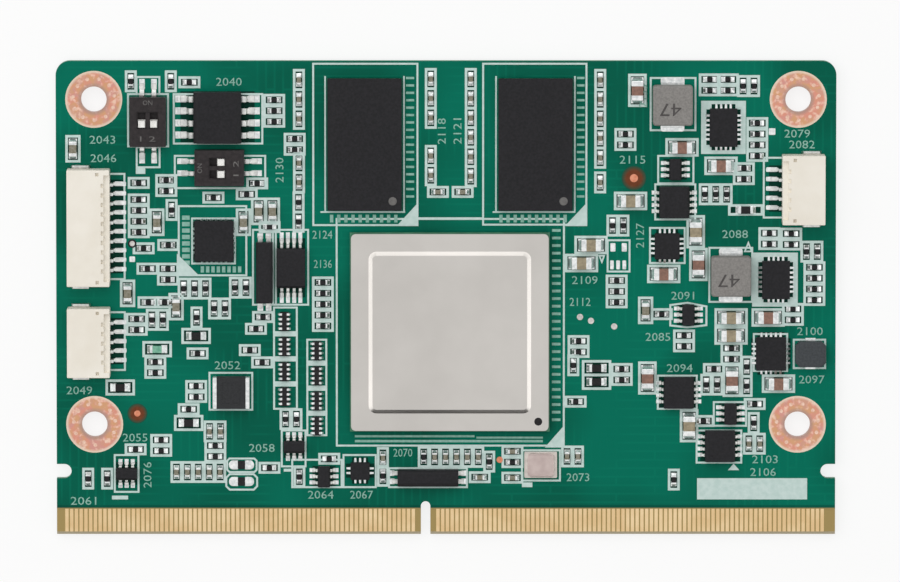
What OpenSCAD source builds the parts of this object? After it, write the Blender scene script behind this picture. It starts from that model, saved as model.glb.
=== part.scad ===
// Edge-connector computer module: a board with a lidded processor, two memory chips,
// three wire sockets, two slide switches and the small parts around them.
// The origin is the centre of the board's underside. +X runs along the contact edge,
// -Y points to the contacts and +Z to the component side.

/* [Board] */
// Length of the board along its contact edge
board_w = 82; // [74:1:100]
// Depth of the board from the contact edge to the far edge
board_d = 50; // [46:1:80]
// Thickness of the board
board_t = 1.2; // [0.8:0.1:2]
// Radius of the two corners on the far edge
corner_r = 1.5; // [0.5:0.1:3]
// Depth of the latch notch in each short side
latch_depth = 1.55; // [1:0.05:2]
// Width of the latch notch
latch_w = 1.5; // [1:0.1:2]
// Middle of the latch notch above the contact edge
latch_up = 6.7; // [5:0.1:8]
// Width of the key slot in the contact edge
key_w = 1; // [0.6:0.1:1.4]
// Depth of the key slot
key_depth = 3.5; // [2.8:0.1:4]
// Middle of the key slot, from the middle of the board
key_x = -2.15; // [-6:0.05:2]
// Chamfer of the contact edge
edge_chamfer = 0.3; // [0.1:0.05:0.45]

/* [Mounting holes] */
// Radius of the hole through each plated ring
hole_r = 1.35; // [1:0.05:1.7]
// Radius of the plated ring
ring_r = 3; // [2.4:0.1:3.4]
// Wall of the plated barrel
barrel_t = 0.1; // [0.05:0.01:0.3]
// Thickness of the copper on each face
copper_t = 0.05; // [0.03:0.01:0.08]
// Hole centres from the short sides
hole_side = 4; // [3.6:0.1:5]
// Upper hole centres from the far edge
hole_top = 4.05; // [3.6:0.05:5]
// Lower hole centres from the contact edge
hole_bottom = 11.65; // [11:0.05:12.5]

/* [Contacts] */
// Length of a contact finger
finger_l = 2.4; // [1.8:0.1:2.8]
// Width of a contact finger
finger_w = 0.36; // [0.25:0.01:0.42]
// Spacing of the contact fingers
finger_pitch = 0.5; // [0.45:0.01:0.5]
// Fingers to the left of the key slot
fingers_left = 74; // [20:1:74]
// Fingers to the right of the key slot
fingers_right = 82; // [20:1:82]
// Clear edge between the key slot and the nearest finger
key_clear = 0.62; // [0.4:0.02:1]

/* [Processor] */
// Middle of the processor along X
cpu_x = 0.4; // [-2:0.1:2]
// Middle of the processor along Y
cpu_y = -3.5; // [-4:0.1:-3]
// Side of the square carrier
cpu_w = 21; // [18:0.5:22]
// Thickness of the carrier
cpu_substrate_t = 0.7; // [0.4:0.05:1.2]
// Margin of carrier around the lid
lid_margin = 0.1; // [0.05:0.05:1]
// Thickness of the lid's rim
lid_rim_t = 0.5; // [0.3:0.05:0.8]
// Side of the raised field of the lid
lid_field = 16.7; // [14:0.1:17]
// Height of the raised field above the rim
lid_rise = 0.45; // [0.2:0.05:0.8]
// Width of the sloped wall around the raised field
lid_slope = 0.25; // [0.1:0.05:0.5]
// Upright edge at the foot and at the top of the raised field
lid_edge = 0.05; // [0.02:0.01:0.1]
// Corner radius of the lid's raised field
lid_field_r = 0.6; // [0.3:0.1:1.5]
// Wall between the raised field's foot and the hollow below it
lid_wall = 0.9; // [0.5:0.1:2]
// Side of the silicon die
die_w = 10; // [6:0.5:13]
// Thickness of the silicon die
die_t = 0.55; // [0.3:0.05:0.7]
// Diameter of a solder ball under the processor
cpu_ball_d = 0.45; // [0.3:0.05:0.6]
// Height of a solder ball under the processor
cpu_ball_h = 0.4; // [0.2:0.05:0.5]
// Spacing of the solder balls
ball_pitch = 0.8; // [0.65:0.05:0.85]
// Solder balls along each side of the processor
cpu_balls = 21; // [10:1:21]

/* [Memory] */
// Middle of the two memory chips along X
memory_x = 0.42; // [-1:0.02:1]
// Spacing of the two memory chips
memory_spacing = 17.95; // [17:0.05:19]
// Middle of the memory chips below the far edge
memory_down = 8.75; // [8:0.05:10]
// Width of a memory chip
memory_w = 7.8; // [7:0.1:9]
// Length of a memory chip
memory_l = 13.9; // [12:0.1:14.5]
// Thickness of the mould body
memory_mould_t = 0.6; // [0.4:0.05:1]
// Thickness of the carrier below the mould
memory_substrate_t = 0.25; // [0.15:0.05:0.5]
// Height of the solder balls below a memory chip
memory_ball_h = 0.3; // [0.2:0.05:0.4]
// Rows of balls along a memory chip
memory_ball_rows = 16; // [8:1:16]
// Columns of balls on each side of a memory chip's middle
memory_ball_columns = 3; // [2:1:3]
// Distance of the innermost ball column from the middle
memory_ball_in = 1.6; // [1.2:0.1:1.8]

/* [Sockets] */
// Ways of the long socket
long_ways = 10; // [8:1:10]
// Ways of a short socket
short_ways = 5; // [3:1:5]
// Spacing of the socket pins
socket_pitch = 1; // [0.9:0.05:1.1]
// Depth of a socket from its mouth to its back
socket_depth = 4.5; // [4:0.1:5]
// Height of a socket
socket_h = 2.9; // [2.4:0.1:3.6]
// Length of housing past the last pin at each end
socket_end = 1.65; // [1.4:0.05:1.8]
// Wall of the housing
socket_wall = 0.55; // [0.4:0.05:0.7]
// Wall at the back of the housing
socket_back = 0.9; // [0.7:0.05:1.2]
// Width and thickness of a pin
pin_w = 0.34; // [0.25:0.01:0.45]
// Free length of a pin inside the housing
pin_l = 2.4; // [1.5:0.1:3]
// Length of a pin's tail behind the housing
tail_l = 1.2; // [0.8:0.1:1.4]
// Clearance of a pin in the housing's back wall
pin_clear = 0.02; // [0.01:0.01:0.05]
// Length of a solder tab along the socket's end
tab_l = 2.1; // [1.5:0.1:2.5]
// Thickness of a solder tab
tab_t = 0.35; // [0.2:0.05:0.45]
// Height of a solder tab
tab_h = 0.9; // [0.5:0.1:1.5]
// Mouth of each socket from the board's short side
socket_edge = 1.2; // [0.8:0.1:1.6]
// Middle of the long socket along Y
ten_way_y = 7.55; // [7.2:0.05:7.6]
// Middle of the left short socket along Y
left_five_way_y = -4.55; // [-4.7:0.05:-4.4]
// Middle of the right short socket along Y
right_five_way_y = 11.55; // [11.3:0.05:11.7]

/* [Slide switches] */
// Width of a switch across its sliders
switch_w = 3.8; // [3.6:0.1:4]
// Length of a switch along its travel
switch_l = 5.2; // [4.8:0.1:5.4]
// Height of the switch's base
switch_base_h = 1.1; // [0.9:0.05:1.5]
// Thickness of the switch's cover
switch_cover_t = 0.6; // [0.4:0.05:0.8]
// Spacing of the two sliders and of the leads
switch_pitch = 1.27; // [1.2:0.01:1.35]
// Travel of a slider
slider_travel = 0.8; // [0.5:0.05:1]
// Side of the square knob of a slider
knob_w = 0.7; // [0.5:0.05:0.75]
// Height of the knob above the cover
knob_rise = 0.2; // [0.1:0.05:0.4]
// Width that the slider's foot has beyond its knob
foot_spread = 0.08; // [0.05:0.01:0.1]
// Thickness of the slider's foot
foot_t = 0.4; // [0.2:0.05:0.5]
// Running clearance around a slider
slider_clear = 0.06; // [0.03:0.01:0.08]
// Step of the slots from the switch's middle
slot_shift = 0.2; // [0:0.05:0.3]
// Reach of a switch lead past the base
switch_lead = 1.4; // [1:0.1:1.5]
// Width of a switch lead
switch_lead_w = 0.5; // [0.3:0.05:0.6]

/* [Leaded chips] */
// Thickness of the lead metal
lead_t = 0.15; // [0.1:0.01:0.2]
// Gap between a leaded chip's body and the board
body_lift = 0.1; // [0.05:0.01:0.15]
// Width, length and height of the flash chip's body
flash_size = [5, 5.4, 1.8]; // [1:0.1:6]
// Reach of a flash lead past the body
flash_lead = 1.4; // [1:0.1:1.5]
// Spacing of the flash leads
flash_pitch = 1.27; // [1.2:0.01:1.3]
// Width, length and height of the small memory's body
eeprom_size = [4.15, 3, 0.95]; // [0.5:0.05:5]
// Reach of a small memory lead past the body
eeprom_lead = 1.05; // [0.8:0.05:1.1]
// Spacing of the small memory's leads
eeprom_pitch = 0.65; // [0.6:0.01:0.7]
// Width, length and height of a logic chip's body
logic_size = [1.25, 2.2, 0.9]; // [0.5:0.05:3]
// Reach of a logic lead past the body
logic_lead = 0.6; // [0.4:0.05:0.7]
// Width, length and height of a transistor's body
transistor_size = [3.15, 3.3, 1]; // [0.5:0.05:4]
// Reach of a transistor lead past the body
transistor_lead = 0.5; // [0.3:0.05:0.6]
// Spacing of the logic and transistor leads
fine_pitch = 0.65; // [0.6:0.01:0.7]
// Leads on each side of the flash chip, the small memory and a transistor
wide_leads = 4; // [3:1:4]
// Leads on each side of a logic chip
logic_leads = 3; // [2:1:3]
// Share of a moulded body's height that its sloped shoulder takes
mould_slope = 0.25; // [0.1:0.05:0.4]
// Share of the lead spacing that a lead fills
lead_fill = 0.5; // [0.3:0.05:0.6]

/* [Flat chips] */
// Height of the flat chips
flat_h = 0.9; // [0.6:0.05:1.2]
// Spacing of the pads at a flat chip's foot
flat_pitch = 0.5; // [0.4:0.05:0.5]
// Width of a pad at a flat chip's foot
flat_pad_w = 0.26; // [0.2:0.02:0.3]
// Reach of a pad past the chip's side
flat_pad_reach = 0.2; // [0.1:0.05:0.25]
// Height of a pad at the chip's foot
flat_pad_t = 0.2; // [0.1:0.05:0.3]

/* [Crystals and inductors] */
// Width, length and height of a long crystal
crystal_size = [1.75, 6.4, 1.6]; // [1:0.05:7]
// Reach of a crystal lead past the body
crystal_lead = 0.6; // [0.4:0.05:0.7]
// Width of a crystal lead
crystal_lead_w = 0.5; // [0.3:0.05:0.6]
// Length, width and height of the oscillator's ceramic base
oscillator_size = [3.45, 2.75, 0.5]; // [0.3:0.05:4]
// Margin of ceramic around the oscillator's lid
oscillator_margin = 0.35; // [0.2:0.05:0.5]
// Thickness of the oscillator's lid
oscillator_lid_t = 0.3; // [0.15:0.05:0.5]
// Side of a power inductor
inductor_w = 4.2; // [3.8:0.1:4.4]
// Height of a power inductor
inductor_h = 2; // [1.5:0.1:2.8]
// Edge chamfer of a power inductor
inductor_chamfer = 0.25; // [0.1:0.05:0.5]
// Reach of an inductor terminal past the core
terminal_reach = 0.3; // [0.15:0.05:0.4]
// Width of an inductor terminal
terminal_w = 2; // [1.2:0.1:2.6]
// Thickness of an inductor terminal
terminal_t = 0.15; // [0.1:0.01:0.25]
// Length, width and height of the ferrite choke
choke_size = [3, 3.35, 1.6]; // [1:0.05:4]
// Thickness of the end bars of the ferrite choke
choke_bar = 0.45; // [0.3:0.05:0.6]
// Length, width and height of the drum choke
drum_size = [3.2, 2.7, 1.2]; // [0.8:0.1:3.6]
// Diameter of the raised drum on the drum choke
drum_d = 2; // [1.4:0.1:2.4]
// Height of the raised drum
drum_rise = 0.08; // [0.04:0.01:0.2]

/* [Chip resistors and capacitors] */
// Length, width, height and end cap of a small resistor
small_r = [1, 0.5, 0.35, 0.25]; // [0.2:0.05:1.2]
// Length, width, height and end cap of a small capacitor
small_c = [1, 0.5, 0.5, 0.25]; // [0.2:0.05:1.2]
// Length, width, height and end cap of a medium resistor
medium_r = [1.6, 0.8, 0.45, 0.35]; // [0.2:0.05:1.8]
// Length, width, height and end cap of a medium capacitor
medium_c = [1.6, 0.8, 0.8, 0.4]; // [0.2:0.05:1.8]
// Length, width, height and end cap of a large capacitor
large_c = [2.1, 1.25, 1.1, 0.5]; // [0.3:0.05:2.4]
// Amount by which an end cap stands proud of its chip
cap_skin = 0.03; // [0.01:0.01:0.05]
// Gap between chips that lie side by side in a run
side_gap = 0.65; // [0.5:0.05:0.7]
// Gap between chips that lie end to end in a run
end_gap = 1.05; // [0.8:0.05:1.1]
// Width, length and height of a resistor network
array_size = [0.9, 2, 0.45]; // [0.2:0.05:2.2]
// Reach of a network's terminals past its body
array_reach = 0.25; // [0.15:0.05:0.3]
// Resistors in a network
array_ways = 4; // [2:1:4]
// Networks in a column
array_count = 4; // [2:1:4]
// Spacing of the networks in a column
array_pitch = 2.65; // [2.4:0.05:2.7]

/* [Bare pads] */
// Thickness of a bare pad above the board
pad_t = 0.05; // [0.03:0.01:0.08]
// Diameter of a test point
test_pad_d = 0.8; // [0.5:0.1:1]
// Width of one half of a solder jumper
jumper_w = 0.95; // [0.7:0.05:1]
// Gap between the halves of a solder jumper
jumper_gap = 0.75; // [0.4:0.05:0.9]

/* [Hidden] */
$fn = 40;
ball_facets = 16;
lap = 0.5;
switch_ways = 2;
crystal_end_leads = 2;
left_edge = -board_w / 2;
right_edge = board_w / 2;
far_edge = board_d / 2;
contact_edge = -board_d / 2;
hole_xs = [left_edge + hole_side, right_edge - hole_side];
hole_ys = [contact_edge + hole_bottom, far_edge - hole_top];
finger_strip = finger_l + edge_chamfer;
key_to_finger = key_w / 2 + key_clear + finger_w / 2;
cpu_substrate_z = board_t + cpu_ball_h;
cpu_lid_z = cpu_substrate_z + cpu_substrate_t;
memory_substrate_z = board_t + memory_ball_h;
memory_mould_z = memory_substrate_z + memory_substrate_t;
foot_w = knob_w + 2 * foot_spread;
switch_h = switch_base_h + switch_cover_t;
foot_z = switch_base_h - slider_clear - foot_t;
slot_l = knob_w + slider_travel + 2 * slider_clear;
channel_l = foot_w + slider_travel + 2 * slider_clear;
recess_t = switch_cover_t / 4;

// Chip directions, and how the chips of a run follow each other
across = 0;
upright = 90;
beside = 0;
in_line = 1;

// Placement grid: columns along the board, a millimetre wide on the standard board
grid_columns = 82;
column = board_w / grid_columns;

// Runs of chips: columns from the zone's edge, Y, count, direction, order.
// The left zone counts from the left side, the right zone from the right side
// to the run's first chip, and the middle zone in millimetres from the middle.
left_small_r = [
  [7.9, 22.85, 1, upright, beside], [12.1, 22.85, 1, upright, beside],
  [14.05, 22.75, 1, across, beside], [22.95, 20.9, 3, across, beside],
  [25.55, 23, 3, upright, in_line], [25.1, 16.8, 2, across, beside],
  [25.5, 10.1, 2, upright, in_line], [21.15, 12.1, 1, across, beside],
  [16.55, 10.6, 1, across, beside], [20.05, 10.95, 1, across, beside],
  [22.45, 7.5, 1, across, beside], [8.7, 12.15, 1, across, beside],
  [8.7, 10.4, 4, across, beside], [11.6, 12.45, 2, across, beside],
  [12.15, 9.3, 1, upright, beside], [11.8, 5.6, 1, across, beside],
  [9.2, 5.25, 1, across, beside], [9.6, 3.1, 1, across, beside],
  [11.75, 3.1, 2, across, beside], [13.4, 1, 3, upright, beside],
  [18.8, 1.1, 2, upright, beside], [16.6, -1.1, 2, upright, beside],
  [9.7, -0.45, 1, across, beside], [11.4, -0.45, 1, across, beside],
  [28.05, 1.65, 5, across, beside], [8.45, -2.2, 2, across, beside],
  [10.05, -2.3, 2, upright, beside], [14.75, -2.05, 1, upright, beside],
  [14.85, -5.85, 1, across, beside], [10.4, -6.75, 2, across, beside],
  [14.7, -9.3, 2, across, beside], [13.9, -11.75, 1, across, beside],
  [21.75, -2, 1, across, beside], [21, -3.25, 1, across, beside],
  [20.35, -5.5, 1, across, beside], [21.65, -6.8, 1, across, beside],
  [24.1, -12.8, 2, upright, beside], [8.3, -16, 1, across, beside],
  [11, -15, 2, across, beside], [16.7, -15.6, 2, across, beside],
  [3.3, -19.1, 1, upright, beside], [5.3, -19.1, 1, upright, beside],
  [22.4, -17.95, 1, across, beside], [25.55, -18.9, 1, upright, beside],
  [28.7, -17, 1, across, beside]
];
middle_small_r = [
  [-1.6, 23.1, 3, upright, in_line], [-1.6, 15, 2, upright, in_line],
  [2.6, 23.1, 6, upright, in_line], [-2.35, -16.8, 1, upright, beside],
  [4.55, -17.3, 1, upright, beside], [7, -17.35, 1, across, beside],
  [-6.65, -18.8, 1, upright, beside]
];
right_small_r = [
  [24.8, 23, 5, upright, in_line], [24.8, 12.2, 1, upright, beside],
  [22.15, 17.3, 2, across, beside], [13.3, 23.05, 2, across, beside],
  [11.4, 23.05, 2, across, beside], [9.8, 22.35, 2, upright, beside],
  [8.3, 18.45, 4, across, beside], [9.7, 13.7, 2, across, beside],
  [13.8, 10.95, 3, upright, beside], [23.5, 7.65, 2, upright, beside],
  [23.05, 1.85, 3, across, beside], [7, 6.85, 2, across, beside],
  [4.7, 6.8, 2, across, beside], [3.1, 4.9, 2, upright, beside],
  [2.25, 3.25, 4, across, beside], [18.3, -1.7, 1, across, beside],
  [4.5, -1.15, 2, across, beside], [15.95, -3.95, 2, across, beside],
  [10.95, -5.3, 2, across, beside], [9.35, -7.25, 2, upright, in_line],
  [12.8, -7.5, 1, across, beside], [13.6, -9.15, 2, upright, beside],
  [22.5, -7.5, 2, across, beside], [27.05, -4.55, 2, across, beside],
  [27.6, -7.1, 1, upright, beside], [27.35, -10.95, 1, across, beside],
  [13.9, -13, 1, across, beside], [8.5, -11.2, 1, across, beside],
  [8.6, -13.2, 1, upright, beside], [17, -19.2, 1, upright, beside]
];
left_small_c = [
  [25.55, 14.25, 2, upright, in_line], [16.1, -14.1, 2, upright, beside],
  [12.6, -18.4, 5, upright, beside]
];
middle_small_c = [
  [-0.85, 11.2, 1, across, beside], [1.75, 11.2, 1, across, beside],
  [-1.2, -16.8, 5, upright, beside], [7, -16.2, 1, across, beside],
  [7, -19, 1, across, beside], [3.55, -18.95, 1, across, beside],
  [12.75, -16.75, 2, upright, beside], [-6.65, -16.9, 1, upright, beside]
];
right_small_c = [[9.1, -15.4, 2, upright, beside]];
left_medium_r = [
  [14.7, -4, 1, across, beside], [6.7, -9.45, 1, across, beside],
  [13.9, -13.2, 1, across, beside], [10.6, -5.4, 1, across, beside]
];
right_medium_r = [
  [25.15, -7.4, 2, across, beside], [9.5, 9.3, 1, across, beside]
];
left_medium_c = [
  [1.8, 15.75, 1, upright, beside], [10.6, 8, 1, upright, beside],
  [7.5, 0.5, 1, upright, beside], [21.3, 9.15, 2, upright, beside],
  [12.6, -0.9, 1, upright, beside], [19.7, 8, 1, upright, beside]
];
right_medium_c = [[20, -1.3, 1, upright, beside]];
right_large_c = [
  [20.9, 21.9, 1, upright, beside], [16.2, 15.9, 1, across, beside],
  [12.1, 13.95, 1, across, beside], [21.6, 10.25, 1, across, beside],
  [25.75, 5.6, 1, across, beside], [26.75, 3.7, 1, across, beside],
  [14.75, 7, 1, upright, beside], [14.45, 3.55, 1, upright, beside],
  [18.1, 2.55, 1, across, beside], [11, -2.05, 2, across, beside],
  [7.1, -2.05, 1, across, beside], [6, -9.05, 1, across, beside],
  [10.9, -8.7, 1, upright, beside], [19.8, -8.45, 1, upright, beside],
  [15.4, -13.5, 1, upright, beside]
];
// Larger pieces: columns from the zone's edge, Y and, where it is turned, direction
flash_place = [17, 19.1];
eeprom_place = [24.7, 3.2];
interface_place = [16.6, 6.05];
upright_switch_place = [9.7, 18.65];
turned_switch_place = [17.2, 13.8];
ferrite_place = [18.4, -9.9];
drum_place = [2.65, -5.85];
oscillator_place = [9.97, -17.6];
upright_crystal_place = [21.9, 2.75];
lying_crystal_place = [-1.9, -18.95];
left_logic = [[7.35, -18.55, upright], [25, -15.7, upright], [28.15, -18.85, across]];
right_logic = [[16.9, 13.6, across], [15.5, -1.75, across], [11.05, -12.2, across]];
right_transistors = [[17, 10.15], [16.5, -9.95], [12.15, -15.6]];
right_inductors = [[17.2, 20.4], [11.05, 2.4]];
left_arrays = [[24, -2.45], [27.4, -5.55]];
// Flat chips: columns from the zone's edge, Y, width, depth, pads along X and Y
interface_size = [4.1, 4.3, 6, 6];
left_regulators = [[31.95, -18.25, 2, 1.8, 3, 2]];
right_regulators = [
  [11.85, 18, 2.9, 4, 4, 6], [6.3, 1.95, 2.9, 4, 4, 6],
  [17.75, 5.5, 2.6, 2.7, 4, 4], [6.8, -5.85, 3.15, 3.5, 5, 5]
];
left_test_pads = [[8.5, -12.2], [8, 5.75]];
middle_test_pads = [[5.65, -17.1]];
right_test_pads = [[21.25, 12.65], [26.9, -2], [25.75, -2.4], [23.3, -3]];
left_jumpers = [[19.45, -17.65], [19.45, -19.4]];

// Place of a piece in board coordinates, and the places of a list, for each zone
function left_place(p) = [left_edge + p[0] * column, p[1], p[2], p[3], p[4], p[5]];
function right_place(p) = [right_edge - p[0] * column, p[1], p[2], p[3], p[4], p[5]];
function from_left(list) = [for (p = list) left_place(p)];
function from_right(list) = [for (p = list) right_place(p)];
small_r_runs = concat(from_left(left_small_r), middle_small_r, from_right(right_small_r));
small_c_runs = concat(from_left(left_small_c), middle_small_c, from_right(right_small_c));
medium_r_runs = concat(from_left(left_medium_r), from_right(right_medium_r));
medium_c_runs = concat(from_left(left_medium_c), from_right(right_medium_c));
large_c_runs = from_right(right_large_c);
logic_places = concat(from_left(left_logic), from_right(right_logic));
transistor_places = from_right(right_transistors);
inductor_places = from_right(right_inductors);
regulator_places = concat(from_left(left_regulators), from_right(right_regulators));
test_pad_places = concat(from_left(left_test_pads), middle_test_pads, from_right(right_test_pads));

// Shared shapes

// Box that stands on z = 0, centred along X and Y
module block(size) {
  translate([-size[0] / 2, -size[1] / 2, 0]) cube(size);
}

// Rounded rectangle, centred
module rounded_field(w, d, r) {
  square([w - 2 * r, d], center = true);
  square([w, d - 2 * r], center = true);
  for (sx = [-1, 1], sy = [-1, 1])
    translate([sx * (w / 2 - r), sy * (d / 2 - r)]) circle(r);
}

// Box whose two long top edges are chamfered
module chamfered_block(size, chamfer) {
  half = size[0] / 2;
  translate([0, size[1] / 2, 0]) rotate([90, 0, 0]) linear_extrude(size[1])
    polygon([
      [-half, 0], [half, 0], [half, size[2] - chamfer], [half - chamfer, size[2]],
      [-half + chamfer, size[2]], [-half, size[2] - chamfer]
    ]);
}

// Lead that leaves a body's side at x = 0 and stands on z = 0
module gull_lead(reach, rise, w) {
  knee = reach / 3;
  toe = reach / 2;
  translate([0, w / 2, 0]) rotate([90, 0, 0]) linear_extrude(w)
    polygon([
      [0, rise], [knee, rise], [toe, lead_t], [reach, lead_t],
      [reach, 0], [toe - lead_t, 0], [knee - lead_t, rise - lead_t], [0, rise - lead_t]
    ]);
}

// Row of like pieces along Y on the +X side of a body
module on_side(half_w, count, pitch) {
  for (i = [0 : count - 1])
    translate([half_w, (i - (count - 1) / 2) * pitch, 0]) children();
}

// The same row on both sides of a body
module on_two_sides(half_w, count, pitch) {
  for (turn = [0, 180]) rotate(turn) on_side(half_w, count, pitch) children();
}

// Stand at a place on the board's upper face
module on_board(place) {
  translate([place[0], place[1], board_t]) children();
}

// Stand at every chip of a list of runs
module on_runs(runs, size) {
  for (run = runs, i = [0 : run[2] - 1]) {
    step = i * (run[4] == in_line ? size[0] + end_gap : size[1] + side_gap);
    along_x = (run[3] == across) == (run[4] == in_line);
    on_board([run[0] + (along_x ? step : 0), run[1] - (along_x ? 0 : step)])
      rotate(run[3]) children();
  }
}

module chip_body(size) {
  translate([0, 0, cap_skin])
    block([size[0] - 2 * size[3], size[1] - 2 * cap_skin, size[2] - 2 * cap_skin]);
}

module chip_caps(size) {
  for (side = [-1, 1])
    translate([side * (size[0] - size[3]) / 2, 0, 0]) block([size[3], size[1], size[2]]);
}

// Board, contacts and plated rings

module board_outline() {
  difference() {
    union() {
      translate([left_edge, contact_edge]) square([board_w, board_d - corner_r]);
      translate([left_edge + corner_r, contact_edge]) square([board_w - 2 * corner_r, board_d]);
      for (side = [-1, 1])
        translate([side * (right_edge - corner_r), far_edge - corner_r]) circle(corner_r);
    }
    for (side = [-1, 1]) translate([side * right_edge, contact_edge + latch_up]) {
      square([2 * (latch_depth - latch_w / 2), latch_w], center = true);
      translate([-side * (latch_depth - latch_w / 2), 0]) circle(latch_w / 2);
    }
    translate([key_x - key_w / 2, contact_edge - lap]) square([key_w, key_depth - key_w / 2 + lap]);
    translate([key_x, contact_edge + key_depth - key_w / 2]) circle(key_w / 2);
  }
}

// Wedge taken off one contact-edge corner
module edge_wedge() {
  translate([left_edge - lap, contact_edge, 0]) rotate([90, 0, 90])
    linear_extrude(board_w + 2 * lap)
      polygon([[-lap, -lap], [edge_chamfer + lap, -lap], [-lap, edge_chamfer + lap]]);
}

module on_holes() {
  for (x = hole_xs, y = hole_ys) translate([x, y, 0]) children();
}

module board() color("#00664f") {
  difference() {
    linear_extrude(board_t) board_outline();
    for (z = [-lap, board_t - copper_t])
      translate([left_edge - lap, contact_edge - lap, z])
        cube([board_w + 2 * lap, finger_strip + lap, copper_t + lap]);
    translate([0, 0, copper_t]) edge_wedge();
    translate([0, 0, board_t - copper_t]) mirror([0, 0, 1]) edge_wedge();
    on_holes() {
      translate([0, 0, -lap]) cylinder(r = hole_r + barrel_t, h = board_t + 2 * lap);
      translate([0, 0, -lap]) cylinder(r = ring_r, h = copper_t + lap);
      translate([0, 0, board_t - copper_t]) cylinder(r = ring_r, h = copper_t + lap);
    }
  }
}

module finger_row(z) {
  finger = [finger_w, finger_l, copper_t];
  translate([0, contact_edge + edge_chamfer + finger_l / 2, z]) {
    for (i = [0 : fingers_left - 1])
      translate([key_x - key_to_finger - i * finger_pitch, 0, 0]) block(finger);
    for (i = [0 : fingers_right - 1])
      translate([key_x + key_to_finger + i * finger_pitch, 0, 0]) block(finger);
  }
}

module front_contacts() color("#cdaa73") finger_row(board_t - copper_t);

module back_contacts() color("#cdaa73") finger_row(0);

module mount_hole_eyelets() color("#dca58c") on_holes() rotate_extrude()
  polygon([
    [hole_r, 0], [ring_r, 0], [ring_r, copper_t], [hole_r + barrel_t, copper_t],
    [hole_r + barrel_t, board_t - copper_t], [ring_r, board_t - copper_t],
    [ring_r, board_t], [hole_r, board_t]
  ]);

// Processor

module at_cpu(z) {
  translate([cpu_x, cpu_y, z]) children();
}

module processor_substrate() color("#2f6b4c")
  at_cpu(cpu_substrate_z) block([cpu_w, cpu_w, cpu_substrate_t]);

module processor_die() color("#55585c") at_cpu(cpu_lid_z) block([die_w, die_w, die_t]);

module processor_lid() color("#c8c4be") at_cpu(cpu_lid_z) difference() {
  rim_w = cpu_w - 2 * lid_margin;
  top_w = lid_field - 2 * lid_slope;
  hollow_w = lid_field - 2 * lid_wall;
  union() {
    linear_extrude(lid_rim_t) rounded_field(rim_w, rim_w, lid_field_r);
    translate([0, 0, lid_rim_t]) hull() {
      linear_extrude(lid_edge) rounded_field(lid_field, lid_field, lid_field_r);
      translate([0, 0, lid_rise - lid_edge])
        linear_extrude(lid_edge) rounded_field(top_w, top_w, lid_field_r);
    }
  }
  translate([0, 0, -lap]) block([hollow_w, hollow_w, die_t + lap]);
}

module processor_balls() color("#c9cbcd") at_cpu(board_t)
  for (i = [0 : cpu_balls - 1], j = [0 : cpu_balls - 1])
    translate([(i - (cpu_balls - 1) / 2) * ball_pitch, (j - (cpu_balls - 1) / 2) * ball_pitch, 0])
      cylinder(d = cpu_ball_d, h = cpu_ball_h, $fn = ball_facets);

// Memory chips, the side is -1 for the left one and 1 for the right one

module at_memory(side, z) {
  translate([memory_x + side * memory_spacing / 2, far_edge - memory_down, z]) children();
}

module memory_mould(side) color("#2a282a")
  at_memory(side, memory_mould_z) block([memory_w, memory_l, memory_mould_t]);

module memory_substrate(side) color("#35523f")
  at_memory(side, memory_substrate_z) block([memory_w, memory_l, memory_substrate_t]);

module memory_balls(side) color("#c9cbcd") at_memory(side, board_t)
  for (half = [-1, 1], i = [0 : memory_ball_columns - 1], j = [0 : memory_ball_rows - 1])
    translate([
      half * (memory_ball_in + i * ball_pitch),
      (j - (memory_ball_rows - 1) / 2) * ball_pitch, 0
    ])
      cylinder(d = cpu_ball_d, h = memory_ball_h, $fn = ball_facets);

module memory_left_mould() memory_mould(-1);

module memory_left_substrate() memory_substrate(-1);

module memory_left_balls() memory_balls(-1);

module memory_right_mould() memory_mould(1);

module memory_right_substrate() memory_substrate(1);

module memory_right_balls() memory_balls(1);

// Wire sockets: the mouth is at x = 0 and the tails lie at +X

function socket_l(ways) = (ways - 1) * socket_pitch + 2 * socket_end;

module on_pins(ways) {
  for (i = [0 : ways - 1]) translate([0, (i - (ways - 1) / 2) * socket_pitch, 0]) children();
}

module socket_housing(ways) color("#ece6dc") {
  length = socket_l(ways);
  hollow_l = length - 2 * socket_wall;
  hollow_h = socket_h - 2 * socket_wall;
  slot_w = pin_w + 2 * pin_clear;
  slot_h = socket_h / 2 + pin_w / 2 + pin_clear;
  difference() {
    translate([0, -length / 2, 0]) cube([socket_depth, length, socket_h]);
    translate([-lap, -hollow_l / 2, socket_wall])
      cube([socket_depth - socket_back + lap, hollow_l, hollow_h]);
    on_pins(ways) translate([socket_depth - socket_back - lap, -slot_w / 2, -lap])
      cube([socket_back + 2 * lap, slot_w, slot_h + lap]);
  }
}

// Pin that crosses the back wall, drops behind it and ends in a tail on the board
module socket_pins(ways) color("#d9d6cf") {
  wall_x = socket_depth - socket_back;
  top_z = socket_h / 2 + pin_w / 2;
  under_z = top_z - pin_w;
  drop_x = socket_depth + pin_clear;
  on_pins(ways) translate([0, pin_w / 2, 0]) rotate([90, 0, 0]) linear_extrude(pin_w)
    polygon([
      [wall_x - pin_l, under_z], [wall_x - pin_l, top_z], [drop_x + pin_w, top_z],
      [drop_x + pin_w, lead_t], [socket_depth + tail_l, lead_t],
      [socket_depth + tail_l, 0], [drop_x, 0], [drop_x, under_z]
    ]);
}

module socket_tabs(ways) color("#b9bbbd") {
  length = socket_l(ways);
  for (end = [-1, 1])
    translate([tab_t, end * (length + tab_t) / 2 - tab_t / 2, 0]) cube([tab_l, tab_t, tab_h]);
}

module at_ten_way() {
  translate([left_edge + socket_edge, ten_way_y, board_t]) children();
}

module at_left_five_way() {
  translate([left_edge + socket_edge, left_five_way_y, board_t]) children();
}

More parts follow.
